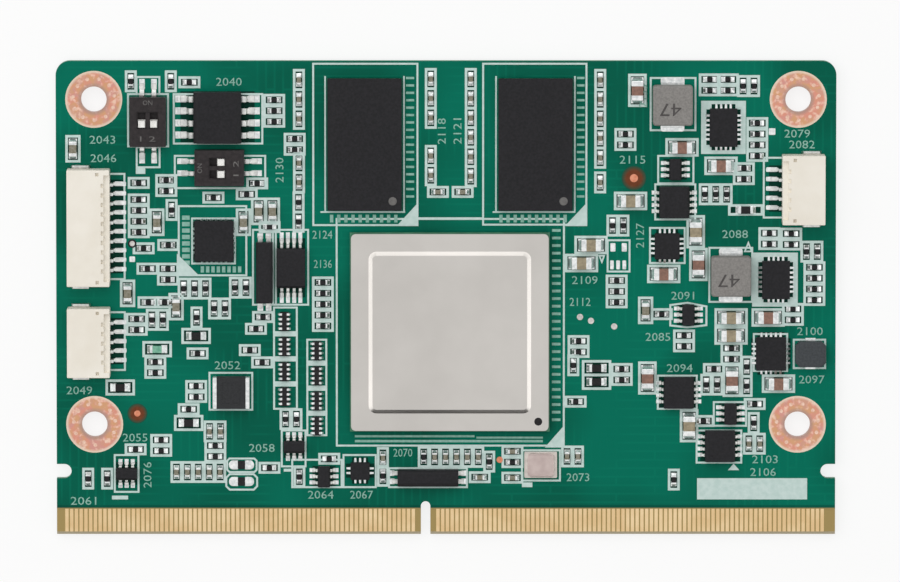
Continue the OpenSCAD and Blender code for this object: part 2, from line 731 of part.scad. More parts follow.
module at_right_five_way() {
  translate([right_edge - socket_edge, right_five_way_y, board_t]) rotate(180) children();
}

module ten_way_housing() at_ten_way() socket_housing(long_ways);

module ten_way_pins() at_ten_way() socket_pins(long_ways);

module ten_way_tabs() at_ten_way() socket_tabs(long_ways);

module left_five_way_housing() at_left_five_way() socket_housing(short_ways);

module left_five_way_pins() at_left_five_way() socket_pins(short_ways);

module left_five_way_tabs() at_left_five_way() socket_tabs(short_ways);

module right_five_way_housing() at_right_five_way() socket_housing(short_ways);

module right_five_way_pins() at_right_five_way() socket_pins(short_ways);

module right_five_way_tabs() at_right_five_way() socket_tabs(short_ways);

// Slide switches: the sliders travel along +Y from their rest

// Stand at each slider's slot, at its middle
module on_slots() {
  for (side = [-1, 1]) translate([side * switch_pitch / 2, slot_shift, 0]) children();
}

module switch_base() color("#343234") difference() {
  block([switch_w, switch_l, switch_base_h]);
  channel_w = foot_w + 2 * slider_clear;
  on_slots() translate([0, 0, foot_z - slider_clear])
    block([channel_w, channel_l, foot_t + 2 * slider_clear + lap]);
}

module switch_cover() color("#3c393c") translate([0, 0, switch_base_h]) difference() {
  block([switch_w, switch_l, switch_cover_t]);
  slot_w = knob_w + 2 * slider_clear;
  on_slots() translate([0, 0, -lap]) block([slot_w, slot_l, switch_cover_t + 2 * lap]);
  translate([0, slot_shift, switch_cover_t - recess_t])
    block([switch_pitch + slot_w + recess_t, slot_l + recess_t, recess_t + lap]);
}

module switch_leads() color("#d5d3cd")
  rotate(90) on_two_sides(switch_l / 2, switch_ways, switch_pitch)
    gull_lead(switch_lead, switch_base_h / 2, switch_lead_w);

// One slider at its rest, the side is -1 or 1 across the switch
module switch_slider(side) color("#f2f1ee")
  translate([side * switch_pitch / 2, slot_shift - slider_travel / 2, foot_z]) {
    block([foot_w, foot_w, foot_t]);
    block([knob_w, knob_w, switch_h + knob_rise - foot_z]);
  }

module at_upright_switch() {
  on_board(left_place(upright_switch_place)) children();
}

module at_turned_switch() {
  on_board(left_place(turned_switch_place)) rotate(90) children();
}

module upright_switch_base() at_upright_switch() switch_base();

module upright_switch_cover() at_upright_switch() switch_cover();

module upright_switch_leads() at_upright_switch() switch_leads();

module upright_switch_slider_1() at_upright_switch() switch_slider(-1);

module upright_switch_slider_2() at_upright_switch() switch_slider(1);

module turned_switch_base() at_turned_switch() switch_base();

module turned_switch_cover() at_turned_switch() switch_cover();

module turned_switch_leads() at_turned_switch() switch_leads();

module turned_switch_slider_1() at_turned_switch() switch_slider(-1);

module turned_switch_slider_2() at_turned_switch() switch_slider(1);

// Leaded chips

module leaded_body(size) {
  translate([0, 0, body_lift]) chamfered_block(size, size[2] * mould_slope);
}

module leaded_legs(size, count, pitch, reach) {
  on_two_sides(size[0] / 2, count, pitch)
    gull_lead(reach, body_lift + size[2] / 2, pitch * lead_fill);
}

module at_flash() {
  on_board(left_place(flash_place)) children();
}

module flash_body() color("#3a3536") at_flash() leaded_body(flash_size);

module flash_leads() color("#d5d3cd")
  at_flash() leaded_legs(flash_size, wide_leads, flash_pitch, flash_lead);

module at_eeprom() {
  on_board(left_place(eeprom_place)) rotate(90) children();
}

module eeprom_body() color("#2b292b") at_eeprom() leaded_body(eeprom_size);

module eeprom_leads() color("#d5d3cd")
  at_eeprom() leaded_legs(eeprom_size, wide_leads, eeprom_pitch, eeprom_lead);

module transistor_bodies() color("#2e2c30")
  for (p = transistor_places) on_board(p) leaded_body(transistor_size);

module transistor_leads() color("#d5d3cd")
  for (p = transistor_places) on_board(p)
    leaded_legs(transistor_size, wide_leads, fine_pitch, transistor_lead);

module small_logic_bodies() color("#2a282c")
  for (p = logic_places) on_board(p) rotate(p[2]) leaded_body(logic_size);

module small_logic_leads() color("#d5d3cd")
  for (p = logic_places) on_board(p) rotate(p[2])
    leaded_legs(logic_size, logic_leads, fine_pitch, logic_lead);

// Flat chips with pads at their foot

module flat_pad() {
  translate([flat_pad_reach / 2, 0, 0]) block([flat_pad_reach, flat_pad_w, flat_pad_t]);
}

module flat_pads(w, d, along_x, along_y) {
  on_two_sides(w / 2, along_y, flat_pitch) flat_pad();
  rotate(90) on_two_sides(d / 2, along_x, flat_pitch) flat_pad();
}

module at_interface() {
  on_board(left_place(interface_place)) children();
}

module interface_body() color("#2c2a2c")
  at_interface() block([interface_size[0], interface_size[1], flat_h]);

module interface_pads() color("#d5d3cd")
  at_interface() flat_pads(interface_size[0], interface_size[1], interface_size[2], interface_size[3]);

module regulator_bodies() color("#2c2a2c")
  for (p = regulator_places) on_board(p) block([p[2], p[3], flat_h]);

module regulator_pads() color("#d5d3cd")
  for (p = regulator_places) on_board(p) flat_pads(p[2], p[3], p[4], p[5]);

// Crystals

module on_crystals() {
  on_board(left_place(upright_crystal_place)) children();
  on_board(lying_crystal_place) rotate(90) children();
}

module crystal_bodies() color("#242224") on_crystals()
  chamfered_block(crystal_size, crystal_size[2] * mould_slope);

module crystal_leads() color("#d5d3cd") on_crystals() rotate(90)
  on_two_sides(crystal_size[1] / 2, crystal_end_leads, crystal_size[0] / 2)
    translate([crystal_lead / 2, 0, 0]) block([crystal_lead, crystal_lead_w, lead_t]);

module oscillator_base() color("#d8cfc8") on_board(oscillator_place) block(oscillator_size);

module oscillator_lid() color("#b9a7a4") on_board(oscillator_place)
  translate([0, 0, oscillator_size[2]])
    linear_extrude(oscillator_lid_t)
      rounded_field(
        oscillator_size[0] - 2 * oscillator_margin,
        oscillator_size[1] - oscillator_margin, oscillator_margin);

// Inductors and chokes

module inductor_cores() color("#87847f")
  for (p = inductor_places) on_board(p)
    translate([0, 0, terminal_t])
      chamfered_block([inductor_w, inductor_w, inductor_h], inductor_chamfer);

// Strap that runs under the core and shows at two ends
module inductor_terminals() color("#d5d3cd")
  for (p = inductor_places, end = [-1, 1]) on_board(p)
    translate([0, end * (inductor_w / 2 + terminal_reach - terminal_w / 2), 0])
      block([terminal_w, terminal_w, terminal_t]);

module at_ferrite() {
  on_board(left_place(ferrite_place)) children();
}

module at_drum() {
  on_board(right_place(drum_place)) children();
}

module choke_cores() color("#3d393c") {
  at_ferrite() block(choke_size);
  at_drum() translate([0, 0, terminal_t]) {
    block(drum_size);
    translate([0, 0, drum_size[2]]) cylinder(d = drum_d, h = drum_rise);
  }
}

module choke_terminals() color("#e4e4e4") {
  at_ferrite() for (end = [-1, 1])
    translate([end * (choke_size[0] + choke_bar) / 2, 0, 0])
      block([choke_bar, choke_size[1], choke_size[2]]);
  at_drum() for (end = [-1, 1])
    translate([0, end * drum_size[1] / 2, 0])
      block([drum_size[0] / 3, 2 * terminal_reach, terminal_t]);
}

// Chip resistors and capacitors

module resistor_bodies() color("#262426") {
  on_runs(small_r_runs, small_r) chip_body(small_r);
  on_runs(medium_r_runs, medium_r) chip_body(medium_r);
}

module resistor_caps() color("#e0e2e2") {
  on_runs(small_r_runs, small_r) chip_caps(small_r);
  on_runs(medium_r_runs, medium_r) chip_caps(medium_r);
}

module capacitor_bodies() color("#826964") {
  on_runs(small_c_runs, small_c) chip_body(small_c);
  on_runs(medium_c_runs, medium_c) chip_body(medium_c);
  on_runs(large_c_runs, large_c) chip_body(large_c);
}

module capacitor_caps() color("#dddad6") {
  on_runs(small_c_runs, small_c) chip_caps(small_c);
  on_runs(medium_c_runs, medium_c) chip_caps(medium_c);
  on_runs(large_c_runs, large_c) chip_caps(large_c);
}

// Two columns of resistor networks
module on_arrays() {
  for (p = from_left(left_arrays), i = [0 : array_count - 1])
    on_board([p[0], p[1] - i * array_pitch]) children();
}

module array_bodies() color("#2b292c") on_arrays() block(array_size);

module array_terminals() color("#b9beb9") on_arrays()
  on_two_sides(array_size[0] / 2, array_ways, array_size[1] / array_ways)
    translate([array_reach / 2, 0, 0])
      block([array_reach, array_size[1] / array_ways * lead_fill, array_size[2]]);

// Bare pads

module solder_pads() color("#d9d4d2") {
  for (p = test_pad_places) on_board(p) cylinder(d = test_pad_d, h = pad_t);
  for (p = from_left(left_jumpers), side = [-1, 1])
    on_board([p[0] + side * (jumper_w + jumper_gap) / 2, p[1]])
      block([jumper_w, jumper_w, pad_t]);
}

board();
front_contacts();
back_contacts();
mount_hole_eyelets();
processor_substrate();
processor_die();
processor_lid();
processor_balls();
memory_left_mould();
memory_left_substrate();
memory_left_balls();
memory_right_mould();
memory_right_substrate();
memory_right_balls();
ten_way_housing();
ten_way_pins();
ten_way_tabs();
left_five_way_housing();
left_five_way_pins();
left_five_way_tabs();
right_five_way_housing();
right_five_way_pins();
right_five_way_tabs();
upright_switch_base();
upright_switch_cover();
upright_switch_leads();
upright_switch_slider_1();
upright_switch_slider_2();
turned_switch_base();
turned_switch_cover();
turned_switch_leads();
turned_switch_slider_1();
turned_switch_slider_2();
flash_body();
flash_leads();
eeprom_body();
eeprom_leads();
interface_body();
interface_pads();
regulator_bodies();
regulator_pads();
transistor_bodies();
transistor_leads();
small_logic_bodies();
small_logic_leads();
crystal_bodies();
crystal_leads();
oscillator_base();
oscillator_lid();
inductor_cores();
inductor_terminals();
choke_cores();
choke_terminals();
resistor_bodies();
resistor_caps();
capacitor_bodies();
capacitor_caps();
array_bodies();
array_terminals();
solder_pads();
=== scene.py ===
import math
import bmesh
import bpy
from mathutils import Matrix, Vector


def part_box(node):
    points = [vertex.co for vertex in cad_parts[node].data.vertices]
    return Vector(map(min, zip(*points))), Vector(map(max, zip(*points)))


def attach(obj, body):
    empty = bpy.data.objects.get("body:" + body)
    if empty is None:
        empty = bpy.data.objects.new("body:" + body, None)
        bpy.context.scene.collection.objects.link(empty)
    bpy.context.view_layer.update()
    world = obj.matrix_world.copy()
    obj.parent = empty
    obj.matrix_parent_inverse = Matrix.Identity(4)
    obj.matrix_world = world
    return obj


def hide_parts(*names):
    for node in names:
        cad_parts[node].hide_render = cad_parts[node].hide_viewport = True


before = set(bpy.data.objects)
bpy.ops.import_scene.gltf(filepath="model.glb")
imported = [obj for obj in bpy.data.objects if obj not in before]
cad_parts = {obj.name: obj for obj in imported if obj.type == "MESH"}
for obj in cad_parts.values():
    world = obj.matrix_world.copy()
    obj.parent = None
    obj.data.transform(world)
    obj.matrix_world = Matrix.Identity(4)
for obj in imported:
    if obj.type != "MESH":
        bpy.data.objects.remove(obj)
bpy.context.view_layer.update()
mm = 0.001
hair = 0.01  # slack in mm when edges and faces are picked
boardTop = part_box("board")[1].z / mm
print("frame loaded:", len(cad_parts), "nodes")


# small helpers for working as by hand

def deselect():
    if bpy.context.object and bpy.context.object.mode != "OBJECT":
        bpy.ops.object.mode_set(mode="OBJECT")
    bpy.ops.object.select_all(action="DESELECT")


def activate(piece):
    deselect()
    piece.select_set(True)
    bpy.context.view_layer.objects.active = piece


def startBlock(name, size, foot):  # foot is the middle of the block's underside, in mm
    deselect()
    place = (foot[0] * mm, foot[1] * mm, (foot[2] + size[2] / 2) * mm)
    bpy.ops.mesh.primitive_cube_add(size=1, location=place)
    piece = bpy.context.object
    piece.name = name
    piece.scale = [side * mm for side in size]
    bpy.ops.object.transform_apply(location=True, rotation=True, scale=True)
    return piece


def startRound(name, radius, height, foot, sides=24):
    deselect()
    place = (foot[0] * mm, foot[1] * mm, (foot[2] + height / 2) * mm)
    bpy.ops.mesh.primitive_cylinder_add(
        vertices=sides, radius=radius * mm, depth=height * mm, location=place)
    piece = bpy.context.object
    piece.name = name
    bpy.ops.object.transform_apply(location=True, rotation=True, scale=True)
    return piece


def openEdit(piece, kind):
    activate(piece)
    bpy.ops.object.mode_set(mode="EDIT")
    bpy.ops.mesh.select_mode(type=kind)
    bpy.ops.mesh.select_all(action="DESELECT")
    return bmesh.from_edit_mesh(piece.data)


def pickFaces(piece, test):  # leaves the piece in edit mode with those faces selected
    form = openEdit(piece, "FACE")
    for face in form.faces:
        face.select_set(bool(test(face.calc_center_median() / mm, face.normal)))
    bmesh.update_edit_mesh(piece.data)


def pickEdges(piece, test):  # the test gets both ends of an edge, in mm
    form = openEdit(piece, "EDGE")
    for edge in form.edges:
        edge.select_set(bool(test(edge.verts[0].co / mm, edge.verts[1].co / mm)))
    bmesh.update_edit_mesh(piece.data)


def closeEdit():
    bpy.ops.object.mode_set(mode="OBJECT")


def roundEdges(piece, width, segments=2, test=lambda a, b: True):
    pickEdges(piece, test)
    bpy.ops.mesh.bevel(offset=width * mm, segments=segments, affect="EDGES")
    closeEdit()


# edges and faces that are often picked

def upright(a, b):
    return abs(a[2] - b[2]) > hair


def edgesAbove(level):  # with both ends above a level
    return lambda a, b: min(a[2], b[2]) > level


def edgesUpTo(level):  # with one end or both above a level
    return lambda a, b: max(a[2], b[2]) > level


def facingUp(middle, normal):
    return normal[2] > 0.95


def extrudeFaces(piece, test, step):
    pickFaces(piece, test)
    bpy.ops.mesh.extrude_region_move(TRANSFORM_OT_translate={"value": [s * mm for s in step]})
    closeEdit()


def stepFaces(piece, border, rise, test=facingUp):  # a field inside a border, set up or down by a step
    pickFaces(piece, test)
    bpy.ops.mesh.inset(thickness=border * mm)
    bpy.ops.mesh.extrude_region_move(TRANSFORM_OT_translate={"value": (0, 0, rise * mm)})
    closeEdit()


def swellTop(piece, border, rise):  # a field inside a sloped border
    pickFaces(piece, facingUp)
    bpy.ops.mesh.inset(thickness=border * mm)
    bpy.ops.transform.translate(value=(0, 0, rise * mm))
    closeEdit()


def taperFaces(piece, test, scale, centre):  # the centre is in mm
    pickFaces(piece, test)
    bpy.ops.transform.resize(value=scale, center_override=[c * mm for c in centre])
    closeEdit()


def cutAway(piece, cutter, operation="DIFFERENCE"):
    activate(piece)
    cut = piece.modifiers.new("cut", "BOOLEAN")
    cut.operation = operation
    cut.solver = "EXACT"
    cut.object = cutter
    bpy.ops.object.modifier_apply(modifier=cut.name)
    bpy.data.objects.remove(cutter)


def joinPieces(name, parts):
    activate(parts[0])
    for part in parts:
        part.select_set(True)
    if len(parts) > 1:
        bpy.ops.object.join()
    parts[0].name = name
    return parts[0]


def seatAt(x, y, z, turn):  # in mm and degrees
    return Matrix.Translation((x * mm, y * mm, z * mm)) @ Matrix.Rotation(math.radians(turn), 4, "Z")


def copyModel(model, places, name):  # each place is what seatAt asks for
    copies = []
    for place in places:
        copy = model.copy()
        copy.data = model.data.copy()
        bpy.context.scene.collection.objects.link(copy)
        copy.data.transform(seatAt(*place))
        copies.append(copy)
    return joinPieces(name, copies)


def dropModel(*models):
    for model in models:
        bpy.data.objects.remove(model)


def islandBoxes(nodeName):  # boxes of a CAD group's separate solids, in mm
    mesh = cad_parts[nodeName].data
    corner, owner, index = {}, [], []
    for vertex in mesh.vertices:
        key = tuple(round(value * 1e7) for value in vertex.co)
        if key not in corner:
            corner[key] = len(owner)
            owner.append(len(owner))
        index.append(corner[key])

    def root(i):
        while owner[i] != i:
            owner[i] = owner[owner[i]]
            i = owner[i]
        return i

    for face in mesh.polygons:
        first = root(index[face.vertices[0]])
        for other in face.vertices[1:]:
            owner[root(index[other])] = first
    boxes = {}
    for key, i in corner.items():
        low, high = boxes.setdefault(root(i), ([9e9] * 3, [-9e9] * 3))
        for axis in range(3):
            low[axis] = min(low[axis], key[axis] * 1e-4)
            high[axis] = max(high[axis], key[axis] * 1e-4)
    return sorted((tuple(low), tuple(high)) for low, high in boxes.values())


def nodeBox(nodeName):
    low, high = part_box(nodeName)
    return low / mm, high / mm


def middleOf(box):
    return [(a + b) / 2 for a, b in zip(*box)]


def sizeOf(box):
    return [b - a for a, b in zip(*box)]


def boxBlock(name, box):  # a block that fills a box
    return startBlock(name, sizeOf(box), (*middleOf(box)[:2], box[0][2]))


def finishPiece(piece, material, slot, *nodes, body="module", smooth=30):
    activate(piece)
    if smooth:
        bpy.ops.object.shade_smooth_by_angle(angle=math.radians(smooth))
        # flat faces stay flat beside rounded edges
        even = piece.modifiers.new("even", "WEIGHTED_NORMAL")
        even.keep_sharp = True
        bpy.ops.object.modifier_apply(modifier=even.name)
    piece.data.materials.clear()
    piece.data.materials.append(material)
    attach(piece, body)
    if nodes:
        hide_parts(*nodes)
    deselect()
    return piece


# materials

def linear(hexText):
    shades = [int(hexText[i:i + 2], 16) / 255 for i in (1, 3, 5)]
    return [s / 12.92 if s <= 0.04045 else ((s + 0.055) / 1.055) ** 2.4 for s in shades] + [1]


def addNode(tree, kind, inputs=None, **settings):
    made = tree.nodes.new("ShaderNode" + kind)
    for key, value in settings.items():
        setattr(made, key, value)
    for key, value in (inputs or {}).items():
        if isinstance(value, bpy.types.NodeSocket):
            tree.links.new(value, made.inputs[key])
        else:
            made.inputs[key].default_value = value
    return made


def startMaterial(name, roughness, metallic=0.0, shine=0.5):
    material = bpy.data.materials.new(name)
    material.use_nodes = True
    tree = material.node_tree
    shader = tree.nodes["Principled BSDF"]
    shader.inputs["Roughness"].default_value = roughness
    shader.inputs["Metallic"].default_value = metallic
    shader.inputs["Specular IOR Level"].default_value = shine
    place = addNode(tree, "TexCoord").outputs["Object"]
    return material, tree, shader, place


# two close shades of one material in soft patches, with a fine relief of the same grain
def grainMaterial(name, light, dark, grain, roughness, metallic=0.0, shine=0.5, relief=0.0):
    material, tree, shader, place = startMaterial(name, roughness, metallic, shine)
    noise = addNode(tree, "TexNoise", {"Vector": place, "Scale": 1 / (grain * mm), "Detail": 3}).outputs[0]
    part = addNode(tree, "MapRange", {0: noise, 1: 0.35, 2: 0.65}).outputs[0]
    shade = addNode(tree, "Mix", {0: part, 6: linear(dark), 7: linear(light)}, data_type="RGBA").outputs[2]
    tree.links.new(shade, shader.inputs["Base Color"])
    if relief:
        bump = addNode(tree, "Bump", {"Height": noise, "Distance": relief * mm, "Strength": 1.0})
        tree.links.new(bump.outputs[0], shader.inputs["Normal"])
    return material


# glossy epoxy solder mask over etched copper: copper fields show through as a lighter green;
# the contact edge and the cut sides are bare glass laminate
mask = {"field": 14, "trackField": 8, "trackLine": 0.14, "trackLong": 11.0, "trackApart": 0.9,
        "trackShow": 0.22, "via": (0.26, 0.2), "viaShow": 0.8, "gridMiddle": (0.43, -3.7), "gridHalf": 9.7,
        "gridStep": 0.8, "looseStep": 2.4, "maskEnd": -22.2, "shadeEnd": -21.9, "bevelEnd": -24.25,
        "blend": 0.05, "weave": 1.8}


def makeSolderMask():
    material, tree, shader, place = startMaterial("greenSolderMask", 0.32, shine=0.06)
    fields = addNode(tree, "TexNoise", {"Vector": place, "Scale": 1 / (mask["field"] * mm), "Detail": 1.0})
    field = addNode(tree, "MapRange", {0: fields.outputs[0], 1: 0.4, 2: 0.6}).outputs[0]
    green = addNode(tree, "Mix", {0: field, 6: linear("#005d49"), 7: linear("#00705a")},
                    data_type="RGBA").outputs[2]
    # etched tracks under the mask, drawn 0.28 mm wide so that they show
    rough = addNode(tree, "TexNoise",
                    {"Vector": place, "Scale": 1 / (mask["trackField"] * mm), "Detail": 1.0})
    line = None
    for turn, low, high in ((0.0, 0.5, 0.6), (math.pi / 2, 0.5, 0.4)):
        swung = addNode(tree, "Mapping", {"Vector": place, "Rotation": (0, 0, turn)}).outputs[0]
        tracks = addNode(tree, "TexBrick",
                         {"Vector": swung, "Color1": linear("#000000"), "Color2": linear("#000000"),
                          "Mortar": linear("#ffffff"), "Scale": 1 / mm, "Mortar Size": mask["trackLine"],
                          "Mortar Smooth": 0.6, "Brick Width": mask["trackLong"],
                          "Row Height": mask["trackApart"]}, offset=0.37)
        there = addNode(tree, "MapRange",
                        {0: rough.outputs[0], 1: low, 2: high, 4: mask["trackShow"]}).outputs[0]
        drawn = addNode(tree, "Math", {0: tracks.outputs[0], 1: there}, operation="MULTIPLY").outputs[0]
        line = drawn if line is None else addNode(
            tree, "Math", {0: line, 1: drawn}, operation="MAXIMUM").outputs[0]
    green = addNode(tree, "Mix", {0: line, 6: green, 7: linear("#0a8468")}, data_type="RGBA").outputs[2]
    # tented vias on the underside: a close grid below the processor, single ones elsewhere
    facing = addNode(tree, "SeparateXYZ",
                     {0: addNode(tree, "NewGeometry").outputs["Normal"]}).outputs[2]
    under = addNode(tree, "Math", {0: facing, 1: -0.9}, operation="LESS_THAN").outputs[0]
    middle = [v * mm for v in mask["gridMiddle"]] + [0]
    offset = addNode(tree, "VectorMath", {0: place, 1: middle}, operation="SUBTRACT").outputs[0]
    offset = addNode(tree, "VectorMath", {0: offset}, operation="ABSOLUTE").outputs[0]
    offset = addNode(tree, "SeparateXYZ", {0: offset}).outputs
    widest = addNode(tree, "Math", {0: offset[0], 1: offset[1]}, operation="MAXIMUM").outputs[0]
    rim, flat = mask["via"]
    for step, loose, region in ((mask["gridStep"], 0.0, "LESS_THAN"),
                                (mask["looseStep"], 1.0, "GREATER_THAN")):
        cells = addNode(tree, "TexVoronoi", {"Vector": place, "Scale": 1 / (step * mm), "Randomness": loose},
                        voronoi_dimensions="2D")
        via = addNode(tree, "MapRange", {0: cells.outputs["Distance"], 1: rim / step, 2: flat / step,
                                         4: mask["viaShow"]}).outputs[0]
        there = addNode(tree, "Math", {0: widest, 1: mask["gridHalf"] * mm}, operation=region).outputs[0]
        via = addNode(tree, "Math", {0: via, 1: there}, operation="MULTIPLY").outputs[0]
        via = addNode(tree, "Math", {0: via, 1: under}, operation="MULTIPLY").outputs[0]
        green = addNode(tree, "Mix", {0: via, 6: green, 7: linear("#148a70")}, data_type="RGBA").outputs[2]
    # between the contacts the laminate has no mask
    axes = addNode(tree, "SeparateXYZ", {0: place}).outputs
    ends = [{0: axes[1], 1: (mask[key] - mask["blend"]) * mm, 2: (mask[key] + mask["blend"]) * mm}
            for key in ("maskEnd", "shadeEnd", "bevelEnd")]
    masked = addNode(tree, "MapRange", ends[0]).outputs[0]
    covered = addNode(tree, "MapRange", {**ends[1], 3: 0.55, 4: 0.0}).outputs[0]
    green = addNode(tree, "Mix", {0: covered, 6: green, 7: linear("#003d31")}, data_type="RGBA").outputs[2]
    green = addNode(tree, "Mix", {0: masked, 6: linear("#a8925f"), 7: green}, data_type="RGBA").outputs[2]
    weave = addNode(tree, "TexWave", {"Vector": place, "Scale": 1 / (mask["weave"] * mm), "Distortion": 1.0},
                    bands_direction="Z")
    glass = addNode(tree, "Mix", {0: weave.outputs[1], 6: linear("#2f7a58"), 7: linear("#4a8f68")},
                    data_type="RGBA").outputs[2]
    bevel = addNode(tree, "MapRange", ends[2]).outputs[0]
    glass = addNode(tree, "Mix", {0: bevel, 6: linear("#bdb196"), 7: glass}, data_type="RGBA").outputs[2]
    steep = addNode(tree, "Math", {0: facing}, operation="ABSOLUTE").outputs[0]
    level = addNode(tree, "Math", {0: steep, 1: 0.9}, operation="GREATER_THAN").outputs[0]
    shade = addNode(tree, "Mix", {0: level, 6: glass, 7: green}, data_type="RGBA").outputs[2]
    tree.links.new(shade, shader.inputs["Base Color"])
    bump = addNode(tree, "Bump", {"Height": line, "Distance": 0.01 * mm, "Strength": 0.5})
    tree.links.new(bump.outputs[0], shader.inputs["Normal"])
    return material


# plated copper, levelled and worn by screw heads: pink, tan and mauve patches with pale flecks,
# which are painted highlights; paler in a band at the outer rim and greyer round the hole
rings = {"across": 37, "middle": 3.8, "up": 17.15, "tint": 0.9, "cell": 0.6, "grit": 0.45,
         "outer": (2.65, 2.9), "inner": (1.8, 1.45)}


def makeRingCopper():
    material, tree, shader, place = startMaterial("mottledCopperPlate", 0.45, 1.0)
    tints = addNode(tree, "TexNoise", {"Vector": place, "Scale": 1 / (rings["tint"] * mm), "Detail": 2})
    tint = addNode(tree, "MapRange", {0: tints.outputs[0], 1: 0.42, 2: 0.58}).outputs[0]
    copper = addNode(tree, "Mix", {0: tint, 6: linear("#d6a37d"), 7: linear("#dc9885")},
                     data_type="RGBA").outputs[2]
    cells = addNode(tree, "TexVoronoi",
                    {"Vector": place, "Scale": 1 / (rings["cell"] * mm), "Randomness": 1.0})
    grey = addNode(tree, "SeparateColor", {0: cells.outputs["Color"]}).outputs[0]
    mauve = addNode(tree, "MapRange", {0: grey, 1: 0.55, 2: 0.9, 4: 0.5}).outputs[0]
    copper = addNode(tree, "Mix", {0: mauve, 6: copper, 7: linear("#cd9b98")}, data_type="RGBA").outputs[2]
    grit = addNode(tree, "TexNoise", {"Vector": place, "Scale": 1 / (rings["grit"] * mm), "Detail": 3})
    # pale flecks of painted highlight where the grain is high
    paintedGlint = addNode(tree, "MapRange", {0: grit.outputs[0], 1: 0.52, 2: 0.7, 4: 0.8}).outputs[0]
    copper = addNode(tree, "Mix", {0: paintedGlint, 6: copper, 7: linear("#f4d3bd")}, data_type="RGBA").outputs[2]
    # distance from the nearest hole: the four holes are alike about the middle of their rectangle
    folded = addNode(tree, "VectorMath", {0: place, 1: (0, rings["middle"] * mm, 0)},
                     operation="SUBTRACT").outputs[0]
    folded = addNode(tree, "VectorMath", {0: folded}, operation="ABSOLUTE").outputs[0]
    folded = addNode(tree, "VectorMath", {0: folded, 1: (rings["across"] * mm, rings["up"] * mm, 0)},
                     operation="SUBTRACT").outputs[0]
    folded = addNode(tree, "VectorMath", {0: folded, 1: (1, 1, 0)}, operation="MULTIPLY").outputs[0]
    away = addNode(tree, "VectorMath", {0: folded}, operation="LENGTH").outputs[1]
    (outerFrom, outerTo), (innerFrom, innerTo) = rings["outer"], rings["inner"]
    outer = addNode(tree, "MapRange", {0: away, 1: outerFrom * mm, 2: outerTo * mm, 4: 0.8}).outputs[0]
    copper = addNode(tree, "Mix", {0: outer, 6: copper, 7: linear("#e8d9c6")}, data_type="RGBA").outputs[2]
    inner = addNode(tree, "MapRange", {0: away, 1: innerFrom * mm, 2: innerTo * mm, 4: 0.75}).outputs[0]
    copper = addNode(tree, "Mix", {0: inner, 6: copper, 7: linear("#ab9188")}, data_type="RGBA").outputs[2]
    tree.links.new(copper, shader.inputs["Base Color"])
    bump = addNode(tree, "Bump", {"Height": grit.outputs[0], "Distance": 0.012 * mm, "Strength": 0.5})
    tree.links.new(bump.outputs[0], shader.inputs["Normal"])
    return material


solderMask = makeSolderMask()
ringCopper = makeRingCopper()
# white epoxy ink, screen printed: flat and slightly uneven in cover
silkInk = grainMaterial("whiteScreenInk", "#d0e2dd", "#c2d8d2", 0.6, 0.6, shine=0.2)
# hard gold plated over nickel: smooth and warm, with faint cloudy patches
contactGold = grainMaterial("hardGoldPlate", "#ebd0a4", "#dfbf8f", 2.5, 0.3, 1.0)
# reflowed tin solder: bright, with a faint frost
solderTin = grainMaterial("reflowedSolder", "#f1f2f1", "#cfd3d3", 0.35, 0.3, 1.0, relief=0.01)
# matte tin plated on stamped leads: an even, dull silver
leadTin = grainMaterial("matteTinPlate", "#e6e6e2", "#c4c5c3", 0.5, 0.38, 1.0)
# electroless nickel on a stamped copper lid, tumbled to a satin grain
lidNickel = grainMaterial("satinNickelPlate", "#cbc7c2", "#c4c0bb", 6, 0.3, 1.0, relief=0.0006)
# glass-filled epoxy moulding compound: near black, fine matte grain
mouldEpoxy = grainMaterial("blackMouldCompound", "#222124", "#19191b", 0.25, 0.5, shine=0.2, relief=0.0015)
# thin glass laminate under a green mask, sawn: mid green and slightly glossy
carrierLaminate = grainMaterial("greenCarrierLaminate", "#3c7a5b", "#2c6148", 1.2, 0.4)
# ivory nylon, moulded: smooth with a soft sheen
socketNylon = grainMaterial("ivoryNylon", "#f6f0e4", "#efe8da", 3, 0.45, relief=0.002)
# heat-proof plastic of the switches, moulded: soft black with a fine grain
switchPlastic = grainMaterial("blackSwitchPlastic", "#2f2a2b", "#231f20", 0.4, 0.45, shine=0.25, relief=0.004)
# acetal of the sliders, moulded: white with a low gloss
sliderAcetal = grainMaterial("whiteAcetal", "#f7f6f3", "#ecebe6", 0.5, 0.4)
# pressed iron powder of the power inductors: grey and gritty
ironPowder = grainMaterial("pressedIronPowder", "#8d8a86", "#7b7875", 0.18, 0.62, relief=0.012)
# sintered ferrite, ground: near black with a fine grit
ferrite = grainMaterial("sinteredFerrite", "#292a2c", "#1f2022", 0.2, 0.5, shine=0.3, relief=0.004)
# ferrite of the drum, ground smoother: a paler grey
drumFerrite = grainMaterial("groundFerrite", "#404447", "#34373a", 0.2, 0.5, shine=0.3, relief=0.004)
# clear epoxy over a lamp chip: pale green and glassy
lampEpoxy = grainMaterial("clearLampEpoxy", "#86bfa4", "#5da085", 0.35, 0.25)
# painted shade: a deeper green laid on the mask round the pads, inside the chip frames and under the leads
shadeMask = grainMaterial("paintedShadeGreen", "#00382b", "#002c22", 0.8, 0.35, shine=0.06)
# glass glaze fired over a resistor film: black with a soft shine
resistorGlaze = grainMaterial("blackResistorGlaze", "#232123", "#161517", 0.2, 0.4, shine=0.2)
# fired barium titanate of the chip capacitors: brown, tan or grey, with a low gloss
brownCeramic = grainMaterial("brownCapacitorCeramic", "#8f6a5a", "#77584c", 0.3, 0.45)
tanCeramic = grainMaterial("tanCapacitorCeramic", "#a2957b", "#8a7f68", 0.3, 0.45)
greyCeramic = grainMaterial("greyCapacitorCeramic", "#8f8b7e", "#77735f", 0.25, 0.45, shine=0.3)
